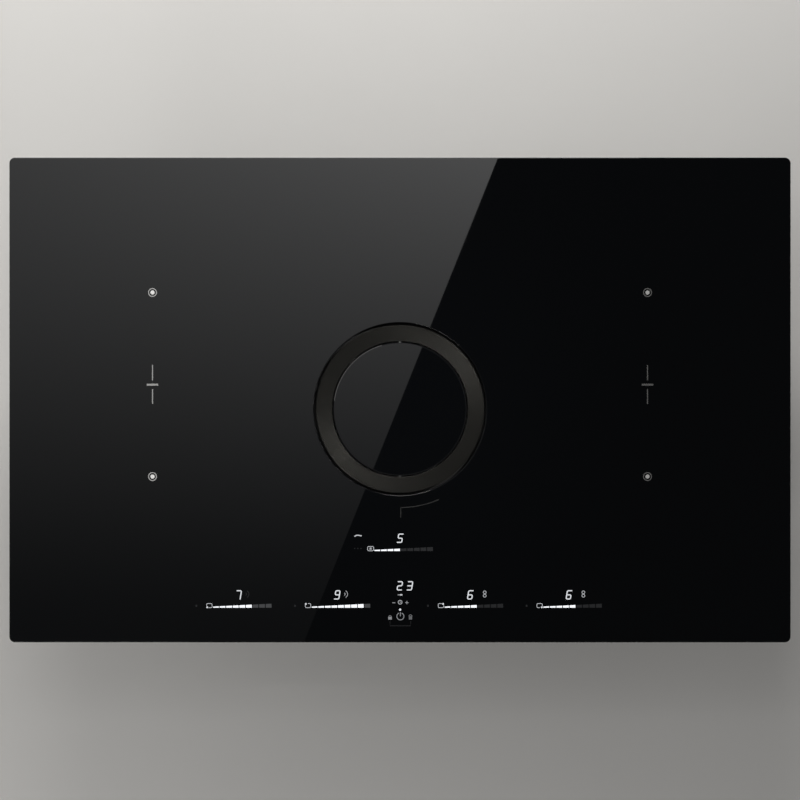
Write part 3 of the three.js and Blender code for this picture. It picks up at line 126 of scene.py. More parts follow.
class CooktopColours(bpy.types.PropertyGroup):
    """Colours of the finishes that a user may change."""

    glass: colour("Glass", "Ceramic glass seen from above", (0.0009, 0.0012, 0.0017))
    ring: colour("Inlet ring", "Turned ring round the flap", (0.0185, 0.0182, 0.0168))
    aluminium: colour("Aluminium", "Carriers, heatsinks and the motor can", (0.62, 0.63, 0.65))
    bronze: colour("Bronze", "Bushes of the flap", (0.5, 0.36, 0.16))
    stainless: colour("Stainless steel", "Grease filter, pins and shaft", (0.6, 0.6, 0.61))
    zinc: colour("Zinc", "Zinc-coated casing and clamps", (0.5, 0.51, 0.52))
    black: colour("Black plastic", "Suction box, blower and carriers", (0.02, 0.02, 0.022))
    housing: colour("Housing plastic", "Covers and the terminal box", (0.05, 0.052, 0.056))
    grey: colour("Grey plastic", "Drip drawer, impeller and gland", (0.18, 0.19, 0.2))
    white: colour("White plastic", "Light guide, terminal block and sensors", (0.7, 0.7, 0.68))
    copper: colour("Copper", "Lacquered coil windings", (0.42, 0.17, 0.07))
    board: colour("Circuit board", "Solder resist", (0.02, 0.16, 0.06))
    seal: colour("Seal", "Foam strip and ring seal", (0.03, 0.03, 0.03))
    light: colour("Display light", "Light of the display through the glass", (0.93, 0.96, 1.0))
    floor: colour("Floor", "Pale studio floor", (0.62, 0.612, 0.598))


def sizes():
    return bpy.context.scene.cooktop_sizes


def colours():
    return bpy.context.scene.cooktop_colours


# ------------------------------------------------------------------------------------------- node trees


def plug(tree, value, socket):
    """Sets a node's socket to a number or links it to another node's output."""
    if isinstance(value, Value):
        tree.links.new(value.socket, socket)
    else:
        socket.default_value = value


class Value:
    """One output of a node tree, so that node maths reads as plain sums."""

    def __init__(self, tree, socket):
        self.tree = tree
        self.socket = socket

    def maths(self, operation, *operands):
        node = self.tree.nodes.new("ShaderNodeMath")
        node.operation = operation
        for operand, socket in zip(operands or (self,), node.inputs):
            plug(self.tree, operand, socket)
        return Value(self.tree, node.outputs[0])

    def __add__(self, other):
        return self.maths("ADD", self, other)

    __radd__ = __add__

    def __sub__(self, other):
        return self.maths("SUBTRACT", self, other)

    def __mul__(self, other):
        return self.maths("MULTIPLY", self, other)

    def __truediv__(self, other):
        return self.maths("DIVIDE", self, other)

    def __pow__(self, other):
        return self.maths("POWER", self, other)

    def __lt__(self, other):
        return self.maths("LESS_THAN", self, other)

    def __gt__(self, other):
        return self.maths("GREATER_THAN", self, other)


class Graph:
    """A node tree under construction."""

    def __init__(self, tree):
        self.tree = tree

    def add(self, kind, settings=None, sockets=None, output=0):
        """Adds a node with its settings and the values or links of its sockets."""
        node = self.tree.nodes.new(kind)
        for name, value in (settings or {}).items():
            setattr(node, name, value)
        for name, value in (sockets or {}).items():
            plug(self.tree, value, node.inputs[name])
        return Value(self.tree, node.outputs[output])

    def ramp(self, factor, stops):
        """A colour ramp through (position, colour) stops."""
        node = self.tree.nodes.new("ShaderNodeValToRGB")
        elements = node.color_ramp.elements
        while len(elements) < len(stops):
            elements.new(0.5)
        for element, (position, rgb) in zip(elements, stops):
            element.position = position
            element.color = (*rgb, 1)
        plug(self.tree, factor, node.inputs["Fac"])
        return Value(self.tree, node.outputs["Color"])

    def mixed(self, factor, first, second):
        """A colour between two others."""
        settings = {"data_type": "RGBA"}
        return self.add("ShaderNodeMix", settings, {0: factor, 6: first, 7: second}, output=2)


def shade(rgb, brightness=1.0):
    """A colour made lighter or darker, with the alpha that a socket wants."""
    return (*(min(1.0, channel * brightness) for channel in rgb), 1.0)


class Finish(Graph):
    """A surface finish. Its patterns are measured in millimetres on the object's own coordinates."""

    def __init__(self, name):
        self.material = bpy.data.materials.new(name)
        self.material.use_nodes = True
        super().__init__(self.material.node_tree)
        self.shader = self.tree.nodes["Principled BSDF"]
        metres = self.add("ShaderNodeTexCoord", output="Object")
        self.place = self.scaled(metres, (1 / MM,) * 3)

    def scaled(self, vector, factors):
        settings = {"operation": "MULTIPLY"}
        return self.add("ShaderNodeVectorMath", settings, {0: vector, 1: factors})

    def set(self, **values):
        for name, value in values.items():
            plug(self.tree, value, self.shader.inputs[name.replace("_", " ")])

    def axis(self, letter):
        return self.add("ShaderNodeSeparateXYZ", None, {"Vector": self.place}, output=letter)

    def noise(self, size, detail=2.0, stretch=(1, 1, 1)):
        """Cloudy noise from 0 to 1 with features of about a size."""
        where = self.scaled(self.place, stretch)
        return self.add("ShaderNodeTexNoise", None, {"Vector": where, "Scale": 1 / size, "Detail": detail})

    def cells(self, size, feature="F1", output="Distance", stretch=(1, 1, 1)):
        where = self.scaled(self.place, stretch)
        settings = {"feature": feature}
        return self.add("ShaderNodeTexVoronoi", settings, {"Vector": where, "Scale": 1 / size}, output)

    def raised(self, height, depth, under=None):
        """A bump whose full height stands for a depth in millimetres."""
        sockets = {"Height": height, "Distance": depth * MM, "Strength": 1.0}
        if under:
            sockets["Normal"] = under
        return self.add("ShaderNodeBump", None, sockets)


FINISHES = {}


def finish(slot):
    """The finish of a record slot, made the first time it is asked for."""
    if slot not in FINISHES:
        FINISHES[slot] = FINISH_MAKERS[slot](slot)
    return FINISHES[slot]


def ceramic_glass(name):
    """Black glass with the faint unevenness of a wiped surface."""
    look = Finish(name)
    wiped = look.noise(70, 3)
    specks = look.cells(9) < 0.012
    look.set(
        Base_Color=look.mixed(specks, shade(colours().glass), shade(colours().glass, 3)),
        Roughness=0.004 + wiped * 0.012,
        Normal=look.raised(look.noise(240, 1), 0.001),
    )
    look.set(IOR=1.5)
    return look.material


def turned_ring(name):
    """Cast metal turned on a lathe: fine grooves about the inlet's axis over a grainy skin."""
    look = Finish(name)
    centred = look.add(
        "ShaderNodeMapping", None, {"Vector": look.place, "Location": tuple(-INLET / MM)}
    )
    flat = look.scaled(centred, (1, 1, 0))
    radius = look.add("ShaderNodeVectorMath", {"operation": "LENGTH"}, {0: flat}, output="Value")
    groove = (radius * (FULL_TURN * MM / sizes().groove_pitch)).maths("SINE") * 0.5 + 0.5
    chatter = look.add("ShaderNodeTexNoise", {"noise_dimensions": "1D"}, {"W": radius, "Scale": 0.9})
    skin = look.noise(1.2, 3)
    tone = look.noise(35, 3)
    look.set(
        Base_Color=look.mixed(tone, shade(colours().ring, 0.86), shade(colours().ring, 1.14)),
        Roughness=0.35 + skin * 0.06,
        Normal=look.raised(skin, 0.004, look.raised(groove * 0.8 + chatter * 0.2, 0.06)),
    )
    look.set(Metallic=1.0)
    return look.material


def metal(name, rgb, roughness, grain, depth, stretch):
    """Bare metal whose grain is drawn out along an axis."""
    look = Finish(name)
    streaks = look.noise(grain, 3, stretch)
    tone = look.noise(45, 3)
    look.set(
        Base_Color=look.mixed(tone, shade(rgb, 0.85), shade(rgb, 1.1)),
        Roughness=roughness - 0.08 + streaks * 0.16,
        Normal=look.raised(streaks, depth),
    )
    look.set(Metallic=1.0)
    return look.material


def zinc_sheet(name):
    """Hot-dipped sheet: zinc crystals of two sizes, each with its own sheen."""
    look = Finish(name)
    crystal = look.add(
        "ShaderNodeSeparateColor", None, {"Color": look.cells(11, output="Color")}, output="Red"
    )
    small = look.add(
        "ShaderNodeSeparateColor", None, {"Color": look.cells(4, output="Color")}, output="Green"
    )
    spangle = crystal * 0.7 + small * 0.3
    scuffs = look.noise(0.5, 4, (1, 0.06, 1))
    look.set(
        Base_Color=look.mixed(spangle, shade(colours().zinc, 0.78), shade(colours().zinc, 1.12)),
        Roughness=0.34 + spangle * 0.16 + scuffs * 0.08,
        Normal=look.raised(spangle, 0.006, look.raised(scuffs, 0.006)),
    )
    look.set(Metallic=0.9)
    return look.material


def plastic(name, rgb, roughness, grain=0.45, depth=0.03):
    """Moulded plastic with a spark-eroded grain and slight flow marks."""
    look = Finish(name)
    pits = look.noise(grain, 2)
    flow = look.noise(55, 3, (1, 1, 0.4))
    look.set(
        Base_Color=look.mixed(flow, shade(rgb, 0.84), shade(rgb, 1.18)),
        Roughness=roughness + flow * 0.1,
        Normal=look.raised(pits, depth),
    )
    return look.material


def litz_winding(name):
    """Lacquered copper strands: fine twisted lines, with cloudy darker patches painted as shade between the
    strands.
    """
    look = Finish(name)
    strand = look.noise(0.32, 2, (1, 1, 0.35))
    painted_strand_shade = look.noise(2.2, 2)
    look.set(
        # The darker patches are painted shade between the strands
        Base_Color=look.mixed(painted_strand_shade, shade(colours().copper, 0.55), shade(colours().copper, 1.25)),
        Roughness=0.3 + strand * 0.25,
        Normal=look.raised(strand, 0.09),
    )
    look.set(Metallic=0.75, Coat_Weight=0.4, Coat_Roughness=0.2)
    return look.material


PLATED_PAD = (0.62, 0.52, 0.3, 1)
CHOKE_LACQUER = (0.06, 0.022, 0.01, 1)
CHOKE_CLEARANCE = 0.4


def solder_resist(name):
    """A green board with copper tracks under the resist, plated pads, and dark wound chokes above it."""
    look = Finish(name)
    track = look.cells(5.5, "DISTANCE_TO_EDGE") < 0.06
    pad = look.cells(3.1) < 0.14
    board_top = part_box("heatsink_left")[0][2] / MM
    above = look.axis("Z") > board_top + CHOKE_CLEARANCE
    turns = (look.axis("Z") * 3.2).maths("SINE") * 0.5 + 0.5
    board = look.mixed(track, shade(colours().board, 0.8), shade(colours().board, 1.9))
    plated = look.mixed(pad, board, PLATED_PAD)
    wound = look.mixed(turns, CHOKE_LACQUER, shade(colours().copper, 0.9))
    look.set(
        Base_Color=look.mixed(above, plated, wound),
        Metallic=pad * 0.9,
        Roughness=0.34 + look.noise(8, 2) * 0.1,
        Normal=look.raised(above * turns, 0.5, look.raised(track, 0.03)),
    )
    return look.material


def foam_and_rubber(name):
    """Closed-cell foam and silicone: a matt skin with a shallow pore at each cell, painted darker inside each
    pore as shade.
    """
    look = Finish(name)
    pores_and_pore_shade = look.cells(0.9)
    look.set(
        # The colour darkens into each pore as painted shade; the same cells sink each pore in the bump
        Base_Color=look.mixed(pores_and_pore_shade, shade(colours().seal, 0.6), shade(colours().seal, 1.5)),
        Roughness=0.78 + look.noise(12, 2) * 0.12,
        Normal=look.raised(pores_and_pore_shade, 0.14),
    )
    return look.material


def glass_print(name):
    """Fired ceramic print. Each mark keeps its own grey in its faces."""
    look = Finish(name)
    grey = look.add("ShaderNodeAttribute", {"attribute_name": Inlay.TONE}, output="Fac")
    dots = look.noise(0.25, 2)
    look.set(
        Base_Color=look.mixed(grey * (0.9 + dots * 0.2), (0, 0, 0, 1), (1, 1, 0.99, 1)),
        Roughness=0.3 + dots * 0.15,
        Normal=look.raised(dots, 0.004),
    )
    look.set(Specular_IOR_Level=0.2)
    return look.material


def display_light(name):
    """Light of the display's diodes through the glass, a little uneven over each mark."""
    look = Finish(name)
    glow = look.add("ShaderNodeAttribute", {"attribute_name": Inlay.TONE}, output="Fac")
    spread = 0.94 + look.noise(2.5, 1) * 0.12
    look.set(
        Base_Color=look.mixed(glow, (0.004, 0.004, 0.005, 1), (0.03, 0.03, 0.03, 1)),
        Emission_Color=look.mixed(glow * spread, (0, 0, 0, 1), shade(colours().light)),
        Roughness=0.2 + look.noise(6, 2) * 0.05,
    )
    look.set(Emission_Strength=1.15)
    return look.material


FINISH_MAKERS = {
    "ceramic_glass": ceramic_glass,
    "cast_iron": turned_ring,
    "aluminium": lambda name: metal(name, colours().aluminium, 0.42, 0.5, 0.01, stretch=(1, 0.05, 1)),
    "bronze": lambda name: metal(name, colours().bronze, 0.32, 0.4, 0.01, stretch=(0.1, 1, 1)),
    "stainless": lambda name: metal(name, colours().stainless, 0.28, 0.35, 0.008, stretch=(1, 1, 0.04)),
    "galvanised": zinc_sheet,
    "black_plastic": lambda name: plastic(name, colours().black, 0.46),
    "housing_plastic": lambda name: plastic(name, colours().housing, 0.5),
    "grey_plastic": lambda name: plastic(name, colours().grey, 0.42),
    "white_plastic": lambda name: plastic(name, colours().white, 0.36, grain=0.6, depth=0.015),
    "coil_copper": litz_winding,
    "circuit_board": solder_resist,
    "seal": foam_and_rubber,
    "glass_print": glass_print,
    "display_light": display_light,
}


# --------------------------------------------------------------------------------------- pieces and meshes


def body_of_node(node):
    """The name of the body that a node belongs to."""
    for body, members in frame["record"]["behaviour"]["bodies"].items():
        if node in members:
            return body
    raise ValueError(f"{node} rides on no body")


def piece(name, mesh, slot, body="cooktop", replaced=()):
    """Links a mesh as a finished piece that rides on a body and stands for the given nodes."""
    mesh = lit_flat(mesh)
    mesh.name = name
    mesh.materials.clear()
    mesh.materials.append(finish(slot))
    made = bpy.data.objects.new(name, mesh)
    bpy.context.scene.collection.objects.link(made)
    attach(made, body)
    if replaced:
        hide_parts(*replaced)
    return made


def evaluated(mesh, modify):
    """The plain mesh that a mesh becomes once its modifiers have run."""
    bench = bpy.data.objects.new("bench", mesh)
    bpy.context.scene.collection.objects.link(bench)
    modify(bench)
    graph = bpy.context.evaluated_depsgraph_get()
    result = bpy.data.meshes.new_from_object(bench.evaluated_get(graph))
    bench.modifiers.clear()
    bpy.data.objects.remove(bench)
    return result


def closed_mesh(shape, level_faces=False):
    """Ends a bmesh as a mesh with its faces out, smooth but for its sharp edges.

    Level faces that mirror the room are kept apart from their edges, so that the mirror image stays true.
    """
    bmesh.ops.remove_doubles(shape, verts=shape.verts, dist=WELD)
    bmesh.ops.recalc_face_normals(shape, faces=shape.faces)
    for face in shape.faces:
        face.smooth = True
    for edge in shape.edges:
        borders_level = len({abs(face.normal.z) > LEVEL for face in edge.link_faces}) > 1
        edge.smooth = edge.calc_face_angle(0) < SHARP_ANGLE and not (level_faces and borders_level)
    mesh = bpy.data.meshes.new("part")
    shape.to_mesh(mesh)
    shape.free()
    return mesh


def rounded(mesh, width, segments=2):
    """A mesh with its sharp edges rounded."""

    def modify(bench):
        bevel = bench.modifiers.new("Edges", "BEVEL")
        bevel.width = width
        bevel.segments = segments
        bevel.limit_method = "ANGLE"
        bevel.angle_limit = SHARP_ANGLE
        bevel.use_clamp_overlap = True

    for polygon in mesh.polygons:
        polygon.use_smooth = True
    return evaluated(mesh, modify)


def lit_flat(mesh):
    """A mesh whose large faces keep their own light, so that rounding shows at the edges only."""

    def modify(bench):
        normals = bench.modifiers.new("Normals", "WEIGHTED_NORMAL")
        normals.keep_sharp = True
        normals.weight = LARGE_FACES

    return evaluated(mesh, modify)


def without(mesh, tools):
    """A mesh with other meshes cut out of it."""
    for tool in tools:
        cutter = bpy.data.objects.new("cutter", tool)

        def modify(bench):
            cut = bench.modifiers.new("Cut", "BOOLEAN")
            cut.object = cutter
            cut.operation = "DIFFERENCE"
            cut.solver = "EXACT"

        bpy.context.scene.collection.objects.link(cutter)
        mesh = evaluated(mesh, modify)
        bpy.data.objects.remove(cutter)
    return mesh


def turned(profile, segments=DRUM_SEGMENTS, centre=(0, 0, 0), level_faces=False):
    """A mesh of (radius, height) corners turned about Z. Corners on the axis close it as poles."""
    shape = bmesh.new()
    rings = []
    for radius, height in profile:
        if radius == 0:
            rings.append([shape.verts.new((0, 0, height))] * segments)
        else:
            angles = [FULL_TURN * step / segments for step in range(segments)]
            rings.append(
                [shape.verts.new((radius * math.cos(a), radius * math.sin(a), height)) for a in angles]
            )
    for low, high in zip(rings, rings[1:] + rings[:1]):
        for step in range(segments):
            after = (step + 1) % segments
            corners = list(dict.fromkeys((low[step], low[after], high[after], high[step])))
            if len(corners) > 2:
                shape.faces.new(corners)
    bmesh.ops.translate(shape, verts=shape.verts, vec=Vector(centre))
    return closed_mesh(shape, level_faces)


def block(low, high, edge=0.0):
    """A box between two corners with rounded edges."""
    low, high = Vector(low), Vector(high)
    shape = bmesh.new()
    bmesh.ops.create_cube(shape, size=1)
    bmesh.ops.scale(shape, verts=shape.verts, vec=high - low)
    bmesh.ops.translate(shape, verts=shape.verts, vec=(low + high) / 2)
    mesh = closed_mesh(shape)
    return rounded(mesh, edge) if edge else mesh


def together(meshes):
    """Several meshes as one."""
    shape = bmesh.new()
    for mesh in meshes:
        shape.from_mesh(mesh)
    result = bpy.data.meshes.new("joined")
    shape.to_mesh(result)
    shape.free()
    return result


def moved(mesh, matrix):
    mesh.transform(matrix)
    return mesh


def circle(radius, segments, centre=(0, 0)):
    angles = [FULL_TURN * step / segments for step in range(segments)]
    return [(centre[0] + radius * math.cos(a), centre[1] + radius * math.sin(a)) for a in angles]


def rounded_rectangle(width, depth, radius, centre=(0, 0), corner_points=10):
    """Points round a rectangle with round corners."""
    points = []
    for quarter, (sx, sy) in enumerate([(1, 1), (-1, 1), (-1, -1), (1, -1)]):
        x = centre[0] + sx * (width / 2 - radius)
        y = centre[1] + sy * (depth / 2 - radius)
        for step in range(corner_points + 1):
            angle = (quarter + step / corner_points) * HALF_TURN / 2
            points.append((x + radius * math.cos(angle), y + radius * math.sin(angle)))
    return points


def plate(outlines, z0, z1, edge):
    """A flat plate with the given outline and holes, its edges rounded."""
    drawing = bpy.data.curves.new("plate", "CURVE")
    drawing.dimensions = "2D"
    drawing.fill_mode = "BOTH"
    drawing.extrude = (z1 - z0) / 2 - edge
    drawing.bevel_depth = edge
    drawing.bevel_resolution = 2
    drawing.offset = -edge
    for outline in outlines:
        spline = drawing.splines.new("POLY")
        spline.points.add(len(outline) - 1)
        for point, (x, y) in zip(spline.points, outline):
            point.co = (x, y, 0, 1)
        spline.use_cyclic_u = True
    shape = bmesh.new()
    shape.from_mesh(evaluated(drawing, lambda bench: None))
    bmesh.ops.translate(shape, verts=shape.verts, vec=(0, 0, (z0 + z1) / 2))
    return closed_mesh(shape, level_faces=True)


def dress(node, slot, edge):
    """Replaces a node by a copy of itself with whole faces, its edges rounded by a width, and its finish."""
    shape = bmesh.new()
    shape.from_mesh(frame["nodes"][node].data)
    bmesh.ops.remove_doubles(shape, verts=shape.verts, dist=WELD)
    bmesh.ops.dissolve_limit(
        shape, angle_limit=FLAT_ANGLE, verts=shape.verts, edges=shape.edges, delimit={"NORMAL"}
    )
    merged = bpy.data.meshes.new(node)
    shape.to_mesh(merged)
    shape.free()
    return piece(f"{node}_finished", rounded(merged, edge), slot, body_of_node(node), (node,))


def dress_each(slot, *nodes, edge):
    for node in nodes:
        dress(node, slot, edge)


def on_both_sides(*stems):
    return [f"{stem}_{hand}" for stem in stems for hand in ("left", "right")]


# ------------------------------------------------------------------------------------------- growth trees


class Growth(Graph):
    """A Geometry Nodes tree with named inputs that ends in realized geometry with a material."""

    def __init__(self, name):
        super().__init__(bpy.data.node_groups.new(name, "GeometryNodeTree"))
        self.tree.interface.new_socket("Geometry", in_out="OUTPUT", socket_type="NodeSocketGeometry")
        self.entry = self.tree.nodes.new("NodeGroupInput")

    def input(self, name, kind):
        self.tree.interface.new_socket(name, in_out="INPUT", socket_type=f"NodeSocket{kind}")
        return Value(self.tree, self.entry.outputs[name])

    def close(self, geometry):
        material = self.input("Material", "Material")
        whole = self.add("GeometryNodeRealizeInstances", None, {"Geometry": geometry})
        painted = self.add("GeometryNodeSetMaterial", None, {"Geometry": whole, "Material": material})
        leave = self.tree.nodes.new("NodeGroupOutput")
        plug(self.tree, painted, leave.inputs["Geometry"])
        return self.tree


def grown(tree, settings, start=None):
    """The plain mesh that a growth tree makes from its named settings."""
    names = {
        item.name: item.identifier for item in tree.interface.items_tree if item.in_out == "INPUT"
    }

    def modify(bench):
        growth = bench.modifiers.new("Growth", "NODES")
        growth.node_group = tree
        for name, value in settings.items():
            growth[names[name]] = value

    mesh = evaluated(start or bpy.data.meshes.new("seed"), modify)
    shape = bmesh.new()
    shape.from_mesh(mesh)
    return closed_mesh(shape)


def planting_tree():
    """Stands copies of a piece on the points of a mesh, each turned as its point says."""
    growth = Growth("Planted pieces")
    points = growth.input("Points", "Geometry")
    stamp = growth.add(
        "GeometryNodeObjectInfo", None, {"Object": growth.input("Piece", "Object")}, output="Geometry"
    )
    turn = growth.add(
        "GeometryNodeInputNamedAttribute", {"data_type": "FLOAT_VECTOR"}, {"Name": "turn"}
    )
    rotation = growth.add("FunctionNodeEulerToRotation", None, {"Euler": turn})
    copies = growth.add(
        "GeometryNodeInstanceOnPoints", None, {"Points": points, "Instance": stamp, "Rotation": rotation}
    )
    return growth.close(copies)


TURN_POINTS = 72
WIRE_SIDES = 6
SQUARENESS = 0.42


def swept(growth, path, wire_radius):
    """A wire along a line of points."""
    curve = growth.add("GeometryNodeMeshToCurve", None, {"Mesh": path})
    section = growth.add(
        "GeometryNodeCurvePrimitiveCircle", None, {"Resolution": WIRE_SIDES, "Radius": wire_radius}
    )
    sockets = {"Curve": curve, "Profile Curve": section, "Fill Caps": True}
    return growth.add("GeometryNodeCurveToMesh", None, sockets)


def winding_tree():
    """A flat winding that runs inwards round a rectangle with soft corners."""
    growth = Growth("Flat winding")
    turns = growth.input("Turns", "Int")
    outer = [growth.input(name, "Float") for name in ("Outer width", "Outer depth")]
    eye = [growth.input(name, "Float") for name in ("Eye width", "Eye depth")]
    wire = growth.input("Wire radius", "Float")
    count = turns * TURN_POINTS
    index = growth.add("GeometryNodeInputIndex")
    share = index / (count - 1)
    angle = index * (FULL_TURN / TURN_POINTS)
    reach = []
    for size, inner, wave in zip(outer, eye, ("COSINE", "SINE")):
        swing = angle.maths(wave)
        squared = swing.maths("SIGN") * swing.maths("ABSOLUTE") ** SQUARENESS
        reach.append((size + share * (inner - size)) * squared * 0.5)
    place = growth.add("ShaderNodeCombineXYZ", None, {"X": reach[0], "Y": reach[1]})
    line = growth.add("GeometryNodeMeshLine", None, {"Count": count})
    path = growth.add("GeometryNodeSetPosition", None, {"Geometry": line, "Position": place})
    return growth.close(swept(growth, path, wire))


MESH_WIRE_POINTS = 26
MESH_WIRE_TWIST = 1.05


def wire_mesh_tree():
    """A drum of crossing wires, each a short helix from the floor to the rim."""
    growth = Growth("Wire mesh drum")
    radius = growth.input("Radius", "Float")
    height = growth.input("Height", "Float")
    wires = growth.input("Wires", "Int")
    wire = growth.input("Wire radius", "Float")
    index = growth.add("GeometryNodeInputIndex")
    share = index / (MESH_WIRE_POINTS - 1)
    join = growth.tree.nodes.new("GeometryNodeJoinGeometry")
    for hand in (-1, 1):
        angle = share * (hand * MESH_WIRE_TWIST)
        out = radius + wire * hand
        sockets = {"X": angle.maths("COSINE") * out, "Y": angle.maths("SINE") * out, "Z": height * share}
        place = growth.add("ShaderNodeCombineXYZ", None, sockets)
        line = growth.add("GeometryNodeMeshLine", None, {"Count": MESH_WIRE_POINTS})
        path = growth.add("GeometryNodeSetPosition", None, {"Geometry": line, "Position": place})
        points = growth.add("GeometryNodePoints", None, {"Count": wires})
        about = growth.add("ShaderNodeCombineXYZ", None, {"Z": index * FULL_TURN / wires})
        rotation = growth.add("FunctionNodeEulerToRotation", None, {"Euler": about})
        sockets = {"Points": points, "Instance": swept(growth, path, wire), "Rotation": rotation}
        copies = growth.add("GeometryNodeInstanceOnPoints", None, sockets)
        plug(growth.tree, copies, join.inputs["Geometry"])
    return growth.close(Value(growth.tree, join.outputs["Geometry"]))


UPWARDS = (0, 0, 0)
DOWNWARDS = (HALF_TURN, 0, 0)
FORWARDS = (HALF_TURN / 2, 0, 0)
BACKWARDS = (HALF_TURN / 2, 0, HALF_TURN)
LEFTWARDS = (HALF_TURN / 2, 0, -HALF_TURN / 2)
RIGHTWARDS = (HALF_TURN / 2, 0, HALF_TURN / 2)


def planted(name, stamp, places, slot, body="cooktop"):
    """A piece made of copies of a small mesh, one at each (point, turn)."""
    points = bpy.data.meshes.new(name)
    points.from_pydata([tuple(point) for point, _ in places], [], [])
    turns = points.attributes.new("turn", "FLOAT_VECTOR", "POINT")
    turns.data.foreach_set("vector", [angle for _, turn in places for angle in turn])
    pattern = bpy.data.objects.new("stamp", stamp)
    tree = planting_tree()
    mesh = grown(tree, {"Piece": pattern, "Material": finish(slot)}, points)
    bpy.data.objects.remove(pattern)
    return piece(name, mesh, slot, body)


# The outline of a screw head and the socket in it, as shares of its radius and height
SCREW_OUTLINE = ((0, 0), (1, 0), (1, 0.35), (0.86, 0.75), (0.6, 1), (0.42, 1), (0.378, 0.4), (0, 0.4))


def button_screw(diameter, height):
    """A low round screw head with a socket in it, standing on its seat."""
    outline = [(diameter / 2 * out, height * up) for out, up in SCREW_OUTLINE]
    return turned(outline, SMALL_SEGMENTS)


# ------------------------------------------------------------------------------------------------- marks


class Inlay:
    """Flat marks let into the glass, each a thin closed prism with its own tone."""

    TONE = "tone"
    CAP_STEPS = 4
    TIP = 0.02 * MM
    ROOT = 0.3 * MM

    def __init__(self):
        self.shape = bmesh.new()
        self.tone = self.shape.faces.layers.float.new(self.TONE)
        self.top = GLASS_HIGH.z
        self.under = self.top - sizes().inlay_depth - self.ROOT

    def strip(self, centres, half_widths, tone, closed=False):
        """A band along a line of points, in millimetres, with its half width at each."""
        points = [Vector((x, y, 0)) * MM for x, y in centres]
        stations = []
        last = len(points) - 1
        for i, (point, half) in enumerate(zip(points, half_widths)):
            before = points[i - 1] if closed or i else points[0]
            after = points[(i + 1) % len(points)] if closed or i < last else points[last]
            ahead = (after - before).normalized()
            across = Vector((-ahead.y, ahead.x, 0)) * max(half * MM, self.TIP)
            stations.append(
                [
                    self.shape.verts.new((side.x, side.y, z))
                    for side in (point + across, point - across)
                    for z in (self.top, self.under)
                ]
            )
        pairs = list(zip(stations, stations[1:] + stations[:1]))
        for now, then in pairs if closed else pairs[:-1]:
            for a, b in ((0, 2), (2, 3), (3, 1), (1, 0)):
                self.face((now[a], now[b], then[b], then[a]), tone)
        if not closed:
            for end in (stations[0], stations[-1]):
                self.face((end[0], end[1], end[3], end[2]), tone)

    def face(self, corners, tone):
        self.shape.faces.new(corners)[self.tone] = tone

    def stroke(self, points, width, tone, ease=0.0):
        """A line with round ends, its corners eased."""
        path = eased(points, ease) if ease else list(points)
        half = width / 2
        first = Vector(path[0]) - Vector(path[1])
        final = Vector(path[-1]) - Vector(path[-2])
        angles = [HALF_TURN / 2 * step / self.CAP_STEPS for step in range(1, self.CAP_STEPS + 1)]
        opening = [Vector(path[0]) + first.normalized() * half * math.sin(a) for a in reversed(angles)]
        ending = [Vector(path[-1]) + final.normalized() * half * math.sin(a) for a in angles]
        widths = [half * math.cos(a) for a in reversed(angles)] + [half] * len(path)
        widths += [half * math.cos(a) for a in angles]
        self.strip([*opening, *map(Vector, path), *ending], widths, tone)

    def bar(self, x0, x1, y0, y1, tone):
        """An upright rectangle."""
        middle = (y0 + y1) / 2
        self.strip([(x0, middle), (x1, middle)], [(y1 - y0) / 2] * 2, tone)

    def wedge(self, x0, x1, y0, left_height, right_height, tone):
        """A bar whose top climbs from left to right."""
        low, high = left_height / 2, right_height / 2
        self.strip([(x0, y0 + low), (x1, y0 + high)], [low, high], tone)

    def dot(self, x, y, radius, tone, steps=24):
        angles = [HALF_TURN * step / steps for step in range(steps + 1)]
        centres = [(x - radius * math.cos(a), y) for a in angles]
        self.strip(centres, [radius * math.sin(a) for a in angles], tone)

    def ring(self, x, y, radius, width, tone, steps=48):
        self.strip(circle(radius, steps, (x, y)), [width / 2] * steps, tone, closed=True)

    def arc(self, x, y, radius, start, end, width, tone, steps=24):
        """Part of a circle between two angles in degrees."""
        angles = [math.radians(start + (end - start) * step / steps) for step in range(steps + 1)]
        self.stroke([(x + radius * math.cos(a), y + radius * math.sin(a)) for a in angles], width, tone)

    def finish(self):
        mesh = bpy.data.meshes.new("marks")
        bmesh.ops.recalc_face_normals(self.shape, faces=self.shape.faces)
        self.shape.to_mesh(mesh)
        self.shape.free()
        return mesh


def eased(points, radius, steps=4):
    """A line whose inner corners are rounded off."""
    line = [Vector(point) for point in points]
    path = [line[0]]
    for before, corner, after in zip(line, line[1:], line[2:]):
        inwards = (before - corner).normalized() * min(radius, (before - corner).length / 2)
        onwards = (after - corner).normalized() * min(radius, (after - corner).length / 2)
        for step in range(steps + 1):
            share = step / steps
            path.append(corner + inwards * (1 - share) ** 2 + onwards * share**2)
    return [*path, line[-1]]


